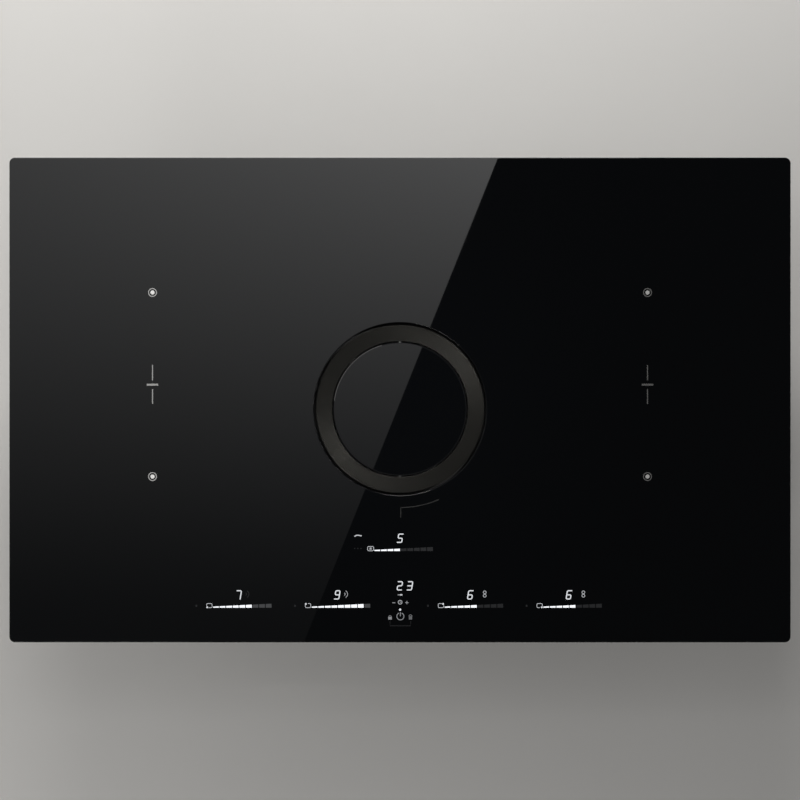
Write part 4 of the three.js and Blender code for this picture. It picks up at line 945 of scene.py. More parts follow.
# Corners of a seven-segment digit, as shares of its width and height
TOP_LEFT, TOP_RIGHT = (0, 1), (1, 1)
MID_LEFT, MID_RIGHT = (0, 0.5), (1, 0.5)
LOW_LEFT, LOW_RIGHT = (0, 0), (1, 0)
DIGITS = {
    2: [[TOP_LEFT, TOP_RIGHT, MID_RIGHT, MID_LEFT, LOW_LEFT, LOW_RIGHT]],
    3: [[TOP_LEFT, TOP_RIGHT, LOW_RIGHT, LOW_LEFT], [MID_LEFT, MID_RIGHT]],
    5: [[TOP_RIGHT, TOP_LEFT, MID_LEFT, MID_RIGHT, LOW_RIGHT, LOW_LEFT]],
    6: [[TOP_RIGHT, TOP_LEFT, LOW_LEFT, LOW_RIGHT, MID_RIGHT, MID_LEFT]],
    7: [[TOP_LEFT, TOP_RIGHT, LOW_RIGHT]],
    9: [[MID_RIGHT, MID_LEFT, TOP_LEFT, TOP_RIGHT, LOW_RIGHT, LOW_LEFT]],
}
DIGIT_WIDTH = 4.6
DIGIT_HEIGHT = 8.8
DIGIT_SLANT = 0.16
DIGIT_STROKE = 1.15
DIGIT_EASE = 1.5

# Tones of the marks, from black at 0 to white at 1
LIT = 1.0
DIGIT_TONE = 0.66
SYMBOL_TONE = 0.34
ICON_TONE = 0.5
FAINT_SYMBOL_TONE = 0.22
DIM_TONE = 0.14
# Unlit segments glow faintly as painted light. The glow is stronger on the left, where it is a painted
# reflection of the softbox over that half of the glass
UNLIT_PAINTED_GLOW_BY_SIDE = {"left": 0.045, "right": 0.012}
FAINT_TONE = 0.012
BRACKET_TONE = 0.006

# Sliders. These and all the places of marks below are millimetres on the glass
SEGMENTS = 9
SEGMENT_PITCH = 7.0
SEGMENT_WIDTH = 6.1
SLIDER_LOW = 1.1
SLIDER_HIGH = 4.2
SLIDER_BASE = -220.6
# Each cooking slider's side of the glass, left end, digit, segments lit and corner of its zone icon
COOKING_SLIDERS = (
    ("left", -198.6, 7, 6, 0),
    ("left", -93.8, 9, 8, 3),
    ("right", 47.4, 6, 5, 2),
    ("right", 152.2, 6, 5, 1),
)
# What stands beside a cooking slider, to the right of its left end and above its base
DIGIT_SHIFT, DIGIT_LIFT = 24.2, 9.2
ICON_SHIFT = -1.0
BLOCK_SIDES, BLOCK_LIFTS = (-18.6, -16.8), (1.0, 3.0)
LINK_SHIFT, LINK_LIFTS = 42.6, (12.7, 16.3)
WAVES_SHIFT, WAVES_LIFT = 34.0, 14.4


def draw_digit(marks, number, x, y):
    """A slanted digit whose lower left corner is at (x, y)."""
    for path in DIGITS[number]:
        corners = [
            (x + u * DIGIT_WIDTH + v * DIGIT_HEIGHT * DIGIT_SLANT, y + v * DIGIT_HEIGHT) for u, v in path
        ]
        marks.stroke(corners, DIGIT_STROKE, DIGIT_TONE, DIGIT_EASE)


def draw_slider(marks, x, base, lit, hand):
    """A row of segments that grow taller, the first of them lit and the rest given a faint glow of painted
    light.
    """
    growth = (SLIDER_HIGH - SLIDER_LOW) / SEGMENTS
    for step in range(SEGMENTS):
        left = x + step * SEGMENT_PITCH
        height = SLIDER_LOW + step * growth
        # An unlit segment's faint glow is painted light, stronger on the left as a painted reflection of the
        # softbox
        tone = LIT if step < lit else UNLIT_PAINTED_GLOW_BY_SIDE[hand]
        marks.wedge(left, left + SEGMENT_WIDTH, base, height, height + growth, tone)


ICON_WIDTH = 5.8
ICON_HEIGHT = 4.4
ICON_LINE = 0.55
ICON_EASE = 1.4
# How much of the outline's first and last sides is left open, and how far in from the corner the dot lies
ICON_GAPS = (0.36, 0.5)
ICON_DOT_INSET = 0.1
ICON_DOT = 0.95


def draw_zone_icon(marks, right, base, corner):
    """A small outline of the cooktop, open at the corner where a dot shows the zone."""
    left, top = right - ICON_WIDTH, base + ICON_HEIGHT
    corners = [(left, base), (right, base), (right, top), (left, top)]
    order = [corners[(corner + step) % 4] for step in range(5)]
    start = Vector(order[0]).lerp(Vector(order[1]), ICON_GAPS[0])
    end = Vector(order[4]).lerp(Vector(order[3]), ICON_GAPS[1])
    marks.stroke([start, *order[1:4], end], ICON_LINE, ICON_TONE, ICON_EASE)
    inwards = Vector(order[0]).lerp(Vector(order[2]), ICON_DOT_INSET)
    marks.dot(inwards.x, inwards.y, ICON_DOT, DIGIT_TONE)


LINK_RADIUS = 1.5
LINK_LINE = 0.75
WAVE_RADII = (1.5, 4.1)
WAVE_ANGLE = 56
WAVE_LINE = 0.65


def draw_zone_controls(marks):
    """The four cooking sliders with their digits, zone icons and small symbols."""
    base = SLIDER_BASE
    low, high = (base + lift for lift in BLOCK_LIFTS)
    for hand, x, number, lit, corner in COOKING_SLIDERS:
        draw_slider(marks, x, base, lit, hand)
        draw_digit(marks, number, x + DIGIT_SHIFT, base + DIGIT_LIFT)
        draw_zone_icon(marks, x + ICON_SHIFT, base, corner)
        marks.bar(x + BLOCK_SIDES[0], x + BLOCK_SIDES[1], low, high, FAINT_TONE)
        if hand == "right":
            for lift in LINK_LIFTS:
                marks.ring(x + LINK_SHIFT, base + lift, LINK_RADIUS, LINK_LINE, SYMBOL_TONE)
        else:
            tone = SYMBOL_TONE if number == 9 else FAINT_TONE
            middle = (x + WAVES_SHIFT, base + WAVES_LIFT)
            for radius in WAVE_RADII:
                marks.arc(*middle, radius, -WAVE_ANGLE, WAVE_ANGLE, WAVE_LINE, tone)


# The extraction slider's left end and base, and the places of what belongs to it, measured from there
EXTRACTION_LEFT, EXTRACTION_BASE = -27.2, -160.4
EXTRACTION_LIT = 4
EXTRACTION_DIGIT = (24.4, 9.2)
FLAP_ICON = (-4.0, 2.5)
FLAP_ICON_SIZE = (6.6, 4.6)
FLAP_ICON_CORNER = 1.5
FLAP_ICON_RING, FLAP_ICON_RING_LINE, FLAP_ICON_DOT = 1.2, 0.45, 0.6
HOOD = (-17.4, 16.4)
HOOD_LINE = ((-3.4, -0.7), (-1.2, 0.5), (1.4, 0.1), (3.4, -0.3))
HOOD_STROKE, HOOD_EASE = 1.1, 1.6
FAINT_DOTS = 3
FAINT_DOT, FAINT_DOT_PITCH = 0.6, 3.4
FAINT_DOTS_START = (-21.0, 2.7)


def draw_extraction_controls(marks):
    """The extraction slider with its digit, flap icon, hood symbol and three faint dots."""

    def from_slider(place):
        return EXTRACTION_LEFT + place[0], EXTRACTION_BASE + place[1]

    draw_slider(marks, EXTRACTION_LEFT, EXTRACTION_BASE, EXTRACTION_LIT, "right")
    draw_digit(marks, 5, *from_slider(EXTRACTION_DIGIT))
    icon = from_slider(FLAP_ICON)
    border = rounded_rectangle(*FLAP_ICON_SIZE, FLAP_ICON_CORNER, icon)
    marks.strip(border, [ICON_LINE / 2] * len(border), ICON_TONE, closed=True)
    marks.ring(*icon, FLAP_ICON_RING, FLAP_ICON_RING_LINE, SYMBOL_TONE)
    marks.dot(*icon, FLAP_ICON_DOT, ICON_TONE)
    hood_x, hood_y = from_slider(HOOD)
    marks.stroke([(hood_x + x, hood_y + y) for x, y in HOOD_LINE], HOOD_STROKE, ICON_TONE, HOOD_EASE)
    x, y = from_slider(FAINT_DOTS_START)
    for step in range(FAINT_DOTS):
        marks.dot(x + step * FAINT_DOT_PITCH, y, FAINT_DOT, FAINT_TONE)


# The timer's digits with their left sides, and the level they stand on
TIMER_DIGITS = ((2, -3.2), (3, 7.6))
TIMER_BASE = -201.8
# The pointer, the minus and the plus under the digits: left, right, low and high sides and tone
TIMER_BARS = (
    (-2.4, 0.0, -207.5, -206.4, FAINT_SYMBOL_TONE),
    (0.0, 2.5, -207.7, -206.2, ICON_TONE),
    (-8.2, -5.0, -215.8, -214.9, FAINT_SYMBOL_TONE),
    (5.6, 9.0, -215.7, -214.8, FAINT_SYMBOL_TONE),
    (6.9, 7.7, -216.9, -213.6, FAINT_SYMBOL_TONE),
)
CLOCK = (0.1, -214.8)
CLOCK_RADIUS, CLOCK_LINE = 2.0, 0.75
CLOCK_HANDS = ((0.1, -213.7), (0.1, -214.9), (1.1, -214.9))
CLOCK_HAND_LINE = 0.5
POWER_LAMP = (0.1, -222.7)
POWER_LAMP_RADIUS = 1.2


def draw_timer(marks):
    """The timer's digits and the symbols under them."""
    for number, left in TIMER_DIGITS:
        draw_digit(marks, number, left, TIMER_BASE)
    for *sides, tone in TIMER_BARS:
        marks.bar(*sides, tone)
    marks.ring(*CLOCK, CLOCK_RADIUS, CLOCK_LINE, SYMBOL_TONE)
    marks.stroke(CLOCK_HANDS, CLOCK_HAND_LINE, SYMBOL_TONE)
    marks.dot(*POWER_LAMP, POWER_LAMP_RADIUS, DIGIT_TONE)


# The bottom row: the level its symbols stand on and the middle of each
ROW_BASE = -233.2
LOCK_X, POWER_X, WIPE_X = -10.6, 0.4, 11.1
POWER_Y, POWER_RADIUS, POWER_LINE = -229.8, 3.75, 0.8
POWER_ARC = (118, 422)
POWER_BAR = (-225.7, -229.4)
LOCK_HALF_WIDTH, LOCK_TOP, LOCK_BOW = 1.9, -230.3, 1.35
WIPE_BARS, WIPE_BAR_WIDTH, WIPE_TOP = (9.5, 10.7, 11.9), 0.85, -229.7
WIPE_BOW, WIPE_BOW_ENDS = (WIPE_X, -229.8, 1.6), (10, 170)
BOW_LINE = 0.7
BRACKET = ((LOCK_X, -235.2), (LOCK_X, -239.8), (11.3, -239.8), (11.3, -235.2))
BRACKET_LINE = 1.0


def draw_bottom_row(marks):
    """Lock, power and wipe symbols, with a faint bracket under them."""
    marks.arc(POWER_X, POWER_Y, POWER_RADIUS, *POWER_ARC, POWER_LINE, FAINT_SYMBOL_TONE)
    marks.stroke([(POWER_X, y) for y in POWER_BAR], POWER_LINE, FAINT_SYMBOL_TONE)
    lock_sides = (LOCK_X - LOCK_HALF_WIDTH, LOCK_X + LOCK_HALF_WIDTH)
    marks.bar(*lock_sides, ROW_BASE, LOCK_TOP, FAINT_SYMBOL_TONE)
    marks.arc(LOCK_X, LOCK_TOP, LOCK_BOW, 0, 180, BOW_LINE, DIM_TONE)
    for left in WIPE_BARS:
        marks.bar(left, left + WIPE_BAR_WIDTH, ROW_BASE, WIPE_TOP, DIM_TONE)
    marks.arc(*WIPE_BOW, *WIPE_BOW_ENDS, BOW_LINE, DIM_TONE)
    marks.stroke(BRACKET, BRACKET_LINE, BRACKET_TONE)


ZONE_DOT_RADIUS = 2.2
ZONE_RING_RADIUS = 4.2
ZONE_LINE = 1.0
# The bridge mark: ends of its two uprights, low and high side of the bar between them, and half widths
BRIDGE_UPRIGHTS = ((20.9, 37.2), (-4.1, 11.6))
BRIDGE_BAR = (15.3, 17.3)
BRIDGE_HALF_LINE, BRIDGE_HALF_WIDTH = 0.55, 6.1
# Tones of the dot, the ring and the bridge mark on each side of the glass. The left side's tones are lighter
# because they hold a painted reflection of the softbox that is mirrored over the left half of the glass
PRINT_TONES_WITH_PAINTED_REFLECTION = {"left": (0.95, 0.45, 0.4), "right": (0.42, 0.11, 0.1)}


def draw_zone_marks(marks):
    """A dot in a ring over each coil, and a bridge mark between the coils of a side."""
    for hand in ("left", "right"):
        # The left side's tones hold a painted reflection of the softbox
        dot_tone, ring_tone, bridge_tone = PRINT_TONES_WITH_PAINTED_REFLECTION[hand]
        for end in ("front", "rear"):
            low, high = box_of(f"coil_{end}_{hand}")
            x, y = (low.x + high.x) / 2 / MM, (low.y + high.y) / 2 / MM
            marks.dot(x, y, ZONE_DOT_RADIUS, dot_tone)
            marks.ring(x, y, ZONE_RING_RADIUS, ZONE_LINE, ring_tone)
        for ends in BRIDGE_UPRIGHTS:
            marks.bar(x - BRIDGE_HALF_LINE, x + BRIDGE_HALF_LINE, *ends, bridge_tone)
        marks.bar(x - BRIDGE_HALF_WIDTH, x + BRIDGE_HALF_WIDTH, *BRIDGE_BAR, bridge_tone)


LEADER_RADIUS = 104.6
LEADER_TONE = 0.02
LEADER_LINE = 0.9
LEADER_SHIFT = 0.8
LEADER_DROP = 10.0
LEADER_ANGLES = (-89.6, -67)
LEADER_STEPS = 48


def draw_leader(marks):
    """The short upright line and arc under the inlet."""
    x, y = INLET.x / MM, INLET.y / MM
    line_x, foot = x + LEADER_SHIFT, y - LEADER_RADIUS
    marks.stroke([(line_x, foot - LEADER_DROP), (line_x, foot)], LEADER_LINE, LEADER_TONE)
    marks.arc(x, y, LEADER_RADIUS, *LEADER_ANGLES, LEADER_LINE, LEADER_TONE, LEADER_STEPS)


# ---------------------------------------------------------------------------------------------- operators


class CooktopOperator:
    """What the operators share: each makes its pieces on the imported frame."""

    bl_options = {"REGISTER", "UNDO"}

    def execute(self, context):
        self.make()
        return {"FINISHED"}


class COOKTOP_OT_glass(CooktopOperator, bpy.types.Operator):
    """Make the glass plate with its ground edges, and the foam strip under it"""

    bl_idname = "cooktop.glass"
    bl_label = "Glass plate"

    CORNER = 6 * MM

    def make(self):
        size = GLASS_HIGH - GLASS_LOW
        outline = rounded_rectangle(size.x, size.y, self.CORNER)
        hole = circle(hole_radius(), FINE_SEGMENTS, INLET)
        top = GLASS_HIGH.z - sizes().inlay_depth
        mesh = plate([outline, hole], GLASS_LOW.z, top, sizes().glass_edge)
        piece("glass_plate", mesh, "ceramic_glass", replaced=("glass_top",))
        dress("worktop_gasket", "seal", edge=0.4 * MM)


# The collar seal ends this far inside the hole in the glass
SEAL_MARGIN = 0.7 * MM


def hole_radius():
    """The radius of the hole in the glass."""
    low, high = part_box("collar_seal")
    return (high[0] - low[0]) / 2 + SEAL_MARGIN


class COOKTOP_OT_marks(CooktopOperator, bpy.types.Operator):
    """Make the printed marks and the lit symbols of the display"""

    bl_idname = "cooktop.marks"
    bl_label = "Marks on the glass"

    def make(self):
        printed = Inlay()
        draw_zone_marks(printed)
        draw_leader(printed)
        piece("printed_marks", printed.finish(), "glass_print")
        lit = Inlay()
        draw_zone_controls(lit)
        draw_extraction_controls(lit)
        draw_timer(lit)
        draw_bottom_row(lit)
        piece("lit_marks", lit.finish(), "display_light")


class COOKTOP_OT_inlet(CooktopOperator, bpy.types.Operator):
    """Make the inlet ring, its flap, and the collar and shaft under them"""

    bl_idname = "cooktop.inlet"
    bl_label = "Round inlet"

    BAND = 17 * MM
    SKIRT = 4 * MM
    WEB = 6 * MM
    EDGE = 0.5 * MM
    # How far the rounding's middle lies in from the corner, as a share of the edge
    EDGE_SAG = 0.3
    BOSS = 8 * MM
    BOSS_EDGE = 0.4 * MM
    BUSH_CLEARANCE = 0.2 * MM
    BORE_SEGMENTS = 32
    CHAMFER = 0.8 * MM
    CHAMFER_SLOPE = math.radians(29)
    UNDERSIDE_EDGE = 0.2 * MM

    def make(self):
        self.make_ring()
        self.make_flap()
        dress_each("bronze", "flap_bush_front", "flap_bush_rear", edge=0.2 * MM)
        dress_each("stainless", "flap_pin_front", "flap_pin_rear", edge=0.3 * MM)
        dress("collar_seal", "seal", edge=0.3 * MM)
        dress_each("black_plastic", "intake_collar", "intake_shaft", edge=0.4 * MM)

    def make_ring(self):
        """The ring's band with its two skirts, and a bored boss for each bush of the flap."""
        outer, inner = RING_RADIUS, RING_RADIUS - self.BAND
        low, top, web = RING_LOW.z, RING_HIGH.z, RING_HIGH.z - self.WEB
        edge, sag = self.EDGE, self.EDGE * self.EDGE_SAG
        profile = [
            (inner, low),
            (inner + self.SKIRT, low),
            (inner + self.SKIRT, web),
            (outer - self.SKIRT, web),
            (outer - self.SKIRT, low),
            (outer, low),
            (outer, top - edge),
            (outer - sag, top - sag),
            (outer - edge, top),
            (inner + edge, top),
            (inner + sag, top - sag),
            (inner, top - edge),
        ]
        band = turned(profile, FINE_SEGMENTS, INLET)
        near, far = inner + self.SKIRT / 2, outer - self.SKIRT / 2
        bosses = []
        bores = []
        for bush, side in (("flap_bush_front", -1), ("flap_bush_rear", 1)):
            y0, y1 = sorted((INLET.y + side * near, INLET.y + side * far))
            bosses.append(block((-self.BOSS, y0, low), (self.BOSS, y1, web), self.BOSS_EDGE))
            bores.append(self.bore(bush, side))
        whole = together([without(solid, bores) for solid in (band, *bosses)])
        piece("ring_casting", whole, "cast_iron", "ring", ("inlet_ring",))

    def bore(self, bush, side):
        """A cutter that ends flush with a bush's outer end and reaches past its inner one."""
        low, high = box_of(bush)
        span = high.y - low.y
        radius = (high.z - low.z) / 2 + self.BUSH_CLEARANCE
        profile = [(0, -span), (radius, -span), (radius, span / 2), (0, span / 2)]
        turn = Matrix.Rotation(-side * HALF_TURN / 2, 4, "X")
        return moved(turned(profile, self.BORE_SEGMENTS), Matrix.Translation((low + high) / 2) @ turn)

    def make_flap(self):
        """The round pane with its ground chamfer, and the plate under it."""
        low, high = box_of("flap_glass")
        radius = (high.x - low.x) / 2
        top = high.z - sizes().inlay_depth
        profile = [
            (0, low.z),
            (radius - self.UNDERSIDE_EDGE, low.z),
            (radius, low.z + self.UNDERSIDE_EDGE),
            (radius, top - self.CHAMFER * math.tan(self.CHAMFER_SLOPE)),
            (radius - self.CHAMFER, top),
            (0, top),
        ]
        mesh = turned(profile, FINE_SEGMENTS, INLET, level_faces=True)
        piece("flap_pane", mesh, "ceramic_glass", "flap", ("flap_glass",))
        dress("flap_carrier", "aluminium", edge=0.3 * MM)


class COOKTOP_OT_grease_filter(CooktopOperator, bpy.types.Operator):
    """Make the grease filter's basket, its drum of crossed wires and its grip"""

    bl_idname = "cooktop.grease_filter"
    bl_label = "Grease filter"

    RIM = 2.5 * MM

    def make(self):
        dress("filter_basket", "stainless", edge=0.35 * MM)
        dress("filter_grip", "stainless", edge=0.8 * MM)
        low, high = box_of("filter_mesh")
        outer = (high.x - low.x) / 2
        wire = sizes().mesh_wire / 2
        middle = outer - 2 * wire
        settings = {
            "Radius": middle,
            "Height": high.z - low.z - 2 * wire,
            "Wires": sizes().mesh_wires,
            "Wire radius": wire,
            "Material": finish("stainless"),
        }
        foot = Vector((INLET.x, INLET.y, low.z + wire))
        drum = moved(grown(wire_mesh_tree(), settings), Matrix.Translation(foot))
        inner = outer - 4 * wire
        rims = []
        for z0 in (low.z, high.z - self.RIM):
            z1 = z0 + self.RIM
            profile = [(inner, z0), (outer, z0), (outer, z1), (inner, z1)]
            rims.append(turned(profile, DRUM_SEGMENTS, INLET))
        piece("filter_wire_drum", together([drum, *rims]), "stainless", "filter", ("filter_mesh",))


class COOKTOP_OT_casing(CooktopOperator, bpy.types.Operator):
    """Make the folded casing and its screws"""

    bl_idname = "cooktop.casing"
    bl_label = "Casing"

    SCREW_INSET = 8 * MM
    SCREW_HEIGHT = 1.5 * MM
    # Places of the wall screws, as shares of the casing's height, width and depth
    WALL_LEVEL = 0.86
    ALONG_WIDTH = (0.08, 0.3, 0.7, 0.92)
    ALONG_DEPTH = (0.12, 0.88)
    BOX_MARGIN = 6 * MM

    def make(self):
        dress("casing_tray", "galvanised", edge=sizes().sheet_edge)
        head = button_screw(sizes().screw_head, self.SCREW_HEIGHT)
        places = self.floor_screws() + self.wall_screws()
        planted("casing_screws", head, places, "galvanised")

    def floor_screws(self):
        """Screws under the boards and coil plates, on the underside that the terminal box hangs from."""
        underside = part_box("terminal_box")[1][2]
        places = []
        for node in on_both_sides("power_board", "coil_plate"):
            low, high = box_of(node)
            for x in (low.x + self.SCREW_INSET, high.x - self.SCREW_INSET):
                for y in (low.y + self.SCREW_INSET, high.y - self.SCREW_INSET):
                    if not self.over_suction_box(x, y):
                        places.append(((x, y, underside), DOWNWARDS))
        return places

    def wall_screws(self):
        """Screws round the casing's four walls."""
        low, high = box_of("casing_tray")
        size = high - low
        level = low.z + size.z * self.WALL_LEVEL
        places = []
        for share in self.ALONG_WIDTH:
            x = low.x + size.x * share
            places.append(((x, low.y, level), FORWARDS))
            places.append(((x, high.y, level), BACKWARDS))
        for share in self.ALONG_DEPTH:
            y = low.y + size.y * share
            places.append(((low.x, y, level), LEFTWARDS))
            places.append(((high.x, y, level), RIGHTWARDS))
        return places

    def over_suction_box(self, x, y):
        low, high = box_of("suction_box_upper")
        margin = self.BOX_MARGIN
        return low.x - margin < x < high.x + margin and low.y - margin < y < high.y + margin


class COOKTOP_OT_coils(CooktopOperator, bpy.types.Operator):
    """Make the four flat windings on their formers, the plates that carry them and the sensors"""

    bl_idname = "cooktop.coils"
    bl_label = "Induction coils"

    EYE = (62 * MM, 48 * MM)
    FORMER_LIP = 1.2 * MM
    FORMER_CORNER = 40 * MM
    EYE_CORNER = 16 * MM
    FORMER_EDGE = 0.4 * MM
    # How far the former's top lies under the wire's middle, as a share of the wire's radius
    WIRE_BED = 0.6

    def make(self):
        tree = winding_tree()
        wire = sizes().winding_wire / 2
        for node in on_both_sides("coil_front", "coil_rear"):
            low, high = box_of(node)
            size, middle = high - low, (low + high) / 2
            settings = {
                "Turns": sizes().winding_turns,
                "Outer width": size.x - 2 * (wire + self.FORMER_LIP),
                "Outer depth": size.y - 2 * (wire + self.FORMER_LIP),
                "Eye width": self.EYE[0] + 2 * wire,
                "Eye depth": self.EYE[1] + 2 * wire,
                "Wire radius": wire,
                "Material": finish("coil_copper"),
            }
            height = high.z - wire
            mesh = moved(grown(tree, settings), Matrix.Translation((middle.x, middle.y, height)))
            piece(f"{node}_winding", mesh, "coil_copper", replaced=(node,))
            centre = (middle.x, middle.y)
            outline = rounded_rectangle(size.x, size.y, self.FORMER_CORNER, centre)
            eye = rounded_rectangle(*self.EYE, self.EYE_CORNER, centre)
            former = plate([outline, eye], low.z, height - self.WIRE_BED * wire, self.FORMER_EDGE)
            piece(f"{node}_former", former, "white_plastic")
        dress_each("aluminium", *on_both_sides("coil_plate"), edge=0.4 * MM)
        dress_each("white_plastic", *on_both_sides("temp_sensor_front", "temp_sensor_rear"), edge=0.5 * MM)


class COOKTOP_OT_electronics(CooktopOperator, bpy.types.Operator):
    """Make the power boards with their capacitors, the heatsinks, the fans and the touch board"""

    bl_idname = "cooktop.electronics"
    bl_label = "Electronics"

    CAN_RADIUS = 8.5 * MM
    # A capacitor's outline, as shares of its radius and heights in millimetres
    CAN_OUTLINE = (
        (0, 0),
        (0.94, 0),
        (1, 0.8),
        (1, 2.2),
        (0.9, 2.8),
        (1, 3.4),
        (1, 19.2),
        (0.9, 20),
        (0.8, 19.7),
        (0, 19.7),
    )
    CAN_SEGMENTS = 24
    CAN_PITCH = 24 * MM
    CAN_ROW = (-1.5, -0.5, 0.5, 1.5)
    HEATSINK_TO_CAN = 22 * MM

    def make(self):
        dress_each("circuit_board", *on_both_sides("power_board"), "control_board", edge=0.15 * MM)
        dress_each("aluminium", *on_both_sides("heatsink"), edge=0.25 * MM)
        dress_each("black_plastic", *on_both_sides("cooling_fan_frame"), edge=0.4 * MM)
        dress_each("housing_plastic", *on_both_sides("cooling_fan_rotor"), edge=0.2 * MM)
        dress("display_carrier", "black_plastic", edge=0.4 * MM)
        dress("display_light_guide", "white_plastic", edge=0.5 * MM)
        places = []
        for node in on_both_sides("heatsink"):
            low, high = box_of(node)
            middle = (low + high) / 2
            reach = (high.x - low.x) / 2 + self.HEATSINK_TO_CAN
            for x in (-reach, reach):
                for step in self.CAN_ROW:
                    places.append(((middle.x + x, middle.y + step * self.CAN_PITCH, low.z), UPWARDS))
        planted("capacitors", self.capacitor(), places, "housing_plastic")

    def capacitor(self):
        """An electrolytic can with its rolled neck and sunken top."""
        outline = [(self.CAN_RADIUS * out, up * MM) for out, up in self.CAN_OUTLINE]
        return turned(outline, self.CAN_SEGMENTS)


class COOKTOP_OT_terminal_box(CooktopOperator, bpy.types.Operator):
    """Make the mains terminal box with its lid, terminal block and cable gland"""

    bl_idname = "cooktop.terminal_box"
    bl_label = "Terminal box"

    WAYS = 5
    SCREW_INSET = 7 * MM
    SCREW_HEAD = (5 * MM, 1.2 * MM)

    def make(self):
        dress("terminal_box", "housing_plastic", edge=0.5 * MM)
        dress("terminal_lid", "housing_plastic", edge=0.4 * MM)
        dress("terminal_block", "white_plastic", edge=0.3 * MM)
        dress("cable_gland", "grey_plastic", edge=0.5 * MM)
        low, high = box_of("terminal_block")
        pitch = (high.y - low.y) / self.WAYS
        places = [
            ((x, low.y + (way + 0.5) * pitch, high.z), UPWARDS)
            for way in range(self.WAYS)
            for x in (low.x + self.SCREW_INSET, high.x - self.SCREW_INSET)
        ]
        planted("terminal_screws", button_screw(*self.SCREW_HEAD), places, "bronze")


class COOKTOP_OT_suction_box(CooktopOperator, bpy.types.Operator):
    """Make the suction box with its ribs, seam and clips, and the outlet spigot"""

    bl_idname = "cooktop.suction_box"
    bl_label = "Suction box"

    CORNER = 8 * MM
    SEAM_LIP = 1.6 * MM
    SEAM_HEIGHT = 3 * MM
    SEAM_EDGE = 0.4 * MM
    # A rib's half width, height over the wall, edge, and distances from the box's underside, seam and corners
    RIB_HALF_WIDTH = 1.5 * MM
    RIB_HEIGHT = 2 * MM
    RIB_EDGE = 0.6 * MM
    RIB_FOOT = 8 * MM
    RIB_HEAD = 6 * MM
    RIB_MARGIN = 6 * MM
    # A clip's reach to each side, down, up, into the wall and over the seam, and its window
    CLIP_HALF_WIDTH = 7 * MM
    CLIP_DOWN = 9 * MM
    CLIP_UP = 7 * MM
    CLIP_ROOT = 1 * MM
    CLIP_COVER = 1.2 * MM
    CLIP_EDGE = 0.8 * MM
    WINDOW_HALF_WIDTH = 4 * MM
    WINDOW_SPAN = (-6.5 * MM, -2.5 * MM)
    # Places of the clips along the walls, as shares of the box's depth or width
    SIDE_CLIPS = (0.16, 0.5, 0.84)
    FRONT_CLIPS = (0.1, 0.36, 0.66, 0.92)
    REAR_CLIPS = (0.12, 0.36)

    def make(self):
        dress_each("black_plastic", "suction_box_lower", "suction_box_upper", edge=sizes().moulded_edge)
        dress("outlet_spigot", "black_plastic", edge=0.5 * MM)
        low, high = box_of("suction_box_lower")
        self.make_seam(low, high)
        self.make_ribs(low, high)
        self.make_clips(low, high)

    def make_seam(self, low, high):
        """The raised lip where the upper shell closes over the lower one."""
        middle = (low + high) / 2
        size = high - low
        lip = self.SEAM_LIP
        outline = rounded_rectangle(size.x + 2 * lip, size.y + 2 * lip, self.CORNER + lip, middle)
        inner = rounded_rectangle(size.x - lip, size.y - lip, self.CORNER - lip / 2, middle)
        mesh = plate([outline, inner], high.z, high.z + self.SEAM_HEIGHT, self.SEAM_EDGE)
        piece("suction_box_seam", mesh, "black_plastic")

    def make_ribs(self, low, high):
        """Upright ribs that stiffen the walls, clear of the drawer and the spigot."""
        foot, head = low.z + self.RIB_FOOT, high.z - self.RIB_HEAD
        corner = Vector((self.RIB_HALF_WIDTH, (head - foot) / 2, self.RIB_HEIGHT))
        rib = block(-corner, corner, self.RIB_EDGE)
        z = (foot + head) / 2
        drawer_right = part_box("drip_drawer")[1][0]
        spigot_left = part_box("outlet_spigot")[0][0]
        pitch = sizes().rib_pitch
        margin = self.CORNER + self.RIB_MARGIN
        places = []
        for y in self.steps(low.y + margin, high.y - margin, pitch):
            places.append(((low.x, y, z), LEFTWARDS))
            places.append(((high.x, y, z), RIGHTWARDS))
        for x in self.steps(drawer_right + margin, high.x - margin, pitch):
            places.append(((x, low.y, z), FORWARDS))
        for x in self.steps(low.x + margin, spigot_left - margin, pitch):
            places.append(((x, high.y, z), BACKWARDS))
        planted("suction_box_ribs", rib, places, "black_plastic")

    @staticmethod
    def steps(start, end, pitch):
        """Places at an even pitch that fill the space from start to end."""
        count = max(2, round((end - start) / pitch) + 1)
        return [start + (end - start) * step / (count - 1) for step in range(count)]

    def make_clips(self, low, high):
        """Snap clips over the seam, each with a window."""
        size = high - low
        reach = self.SEAM_LIP + self.CLIP_COVER
        foot = (-self.CLIP_HALF_WIDTH, -self.CLIP_DOWN, -self.CLIP_ROOT)
        clip = block(foot, (self.CLIP_HALF_WIDTH, self.CLIP_UP, reach), self.CLIP_EDGE)
        start, end = self.WINDOW_SPAN
        window = block((-self.WINDOW_HALF_WIDTH, start, 0), (self.WINDOW_HALF_WIDTH, end, 2 * reach))
        places = []
        for share in self.SIDE_CLIPS:
            y = low.y + size.y * share
            places.append(((low.x, y, high.z), LEFTWARDS))
            places.append(((high.x, y, high.z), RIGHTWARDS))
        for share in self.FRONT_CLIPS:
            places.append(((low.x + size.x * share, low.y, high.z), FORWARDS))
        for share in self.REAR_CLIPS:
            places.append(((low.x + size.x * share, high.y, high.z), BACKWARDS))
        planted("suction_box_clips", without(clip, [window]), places, "housing_plastic")


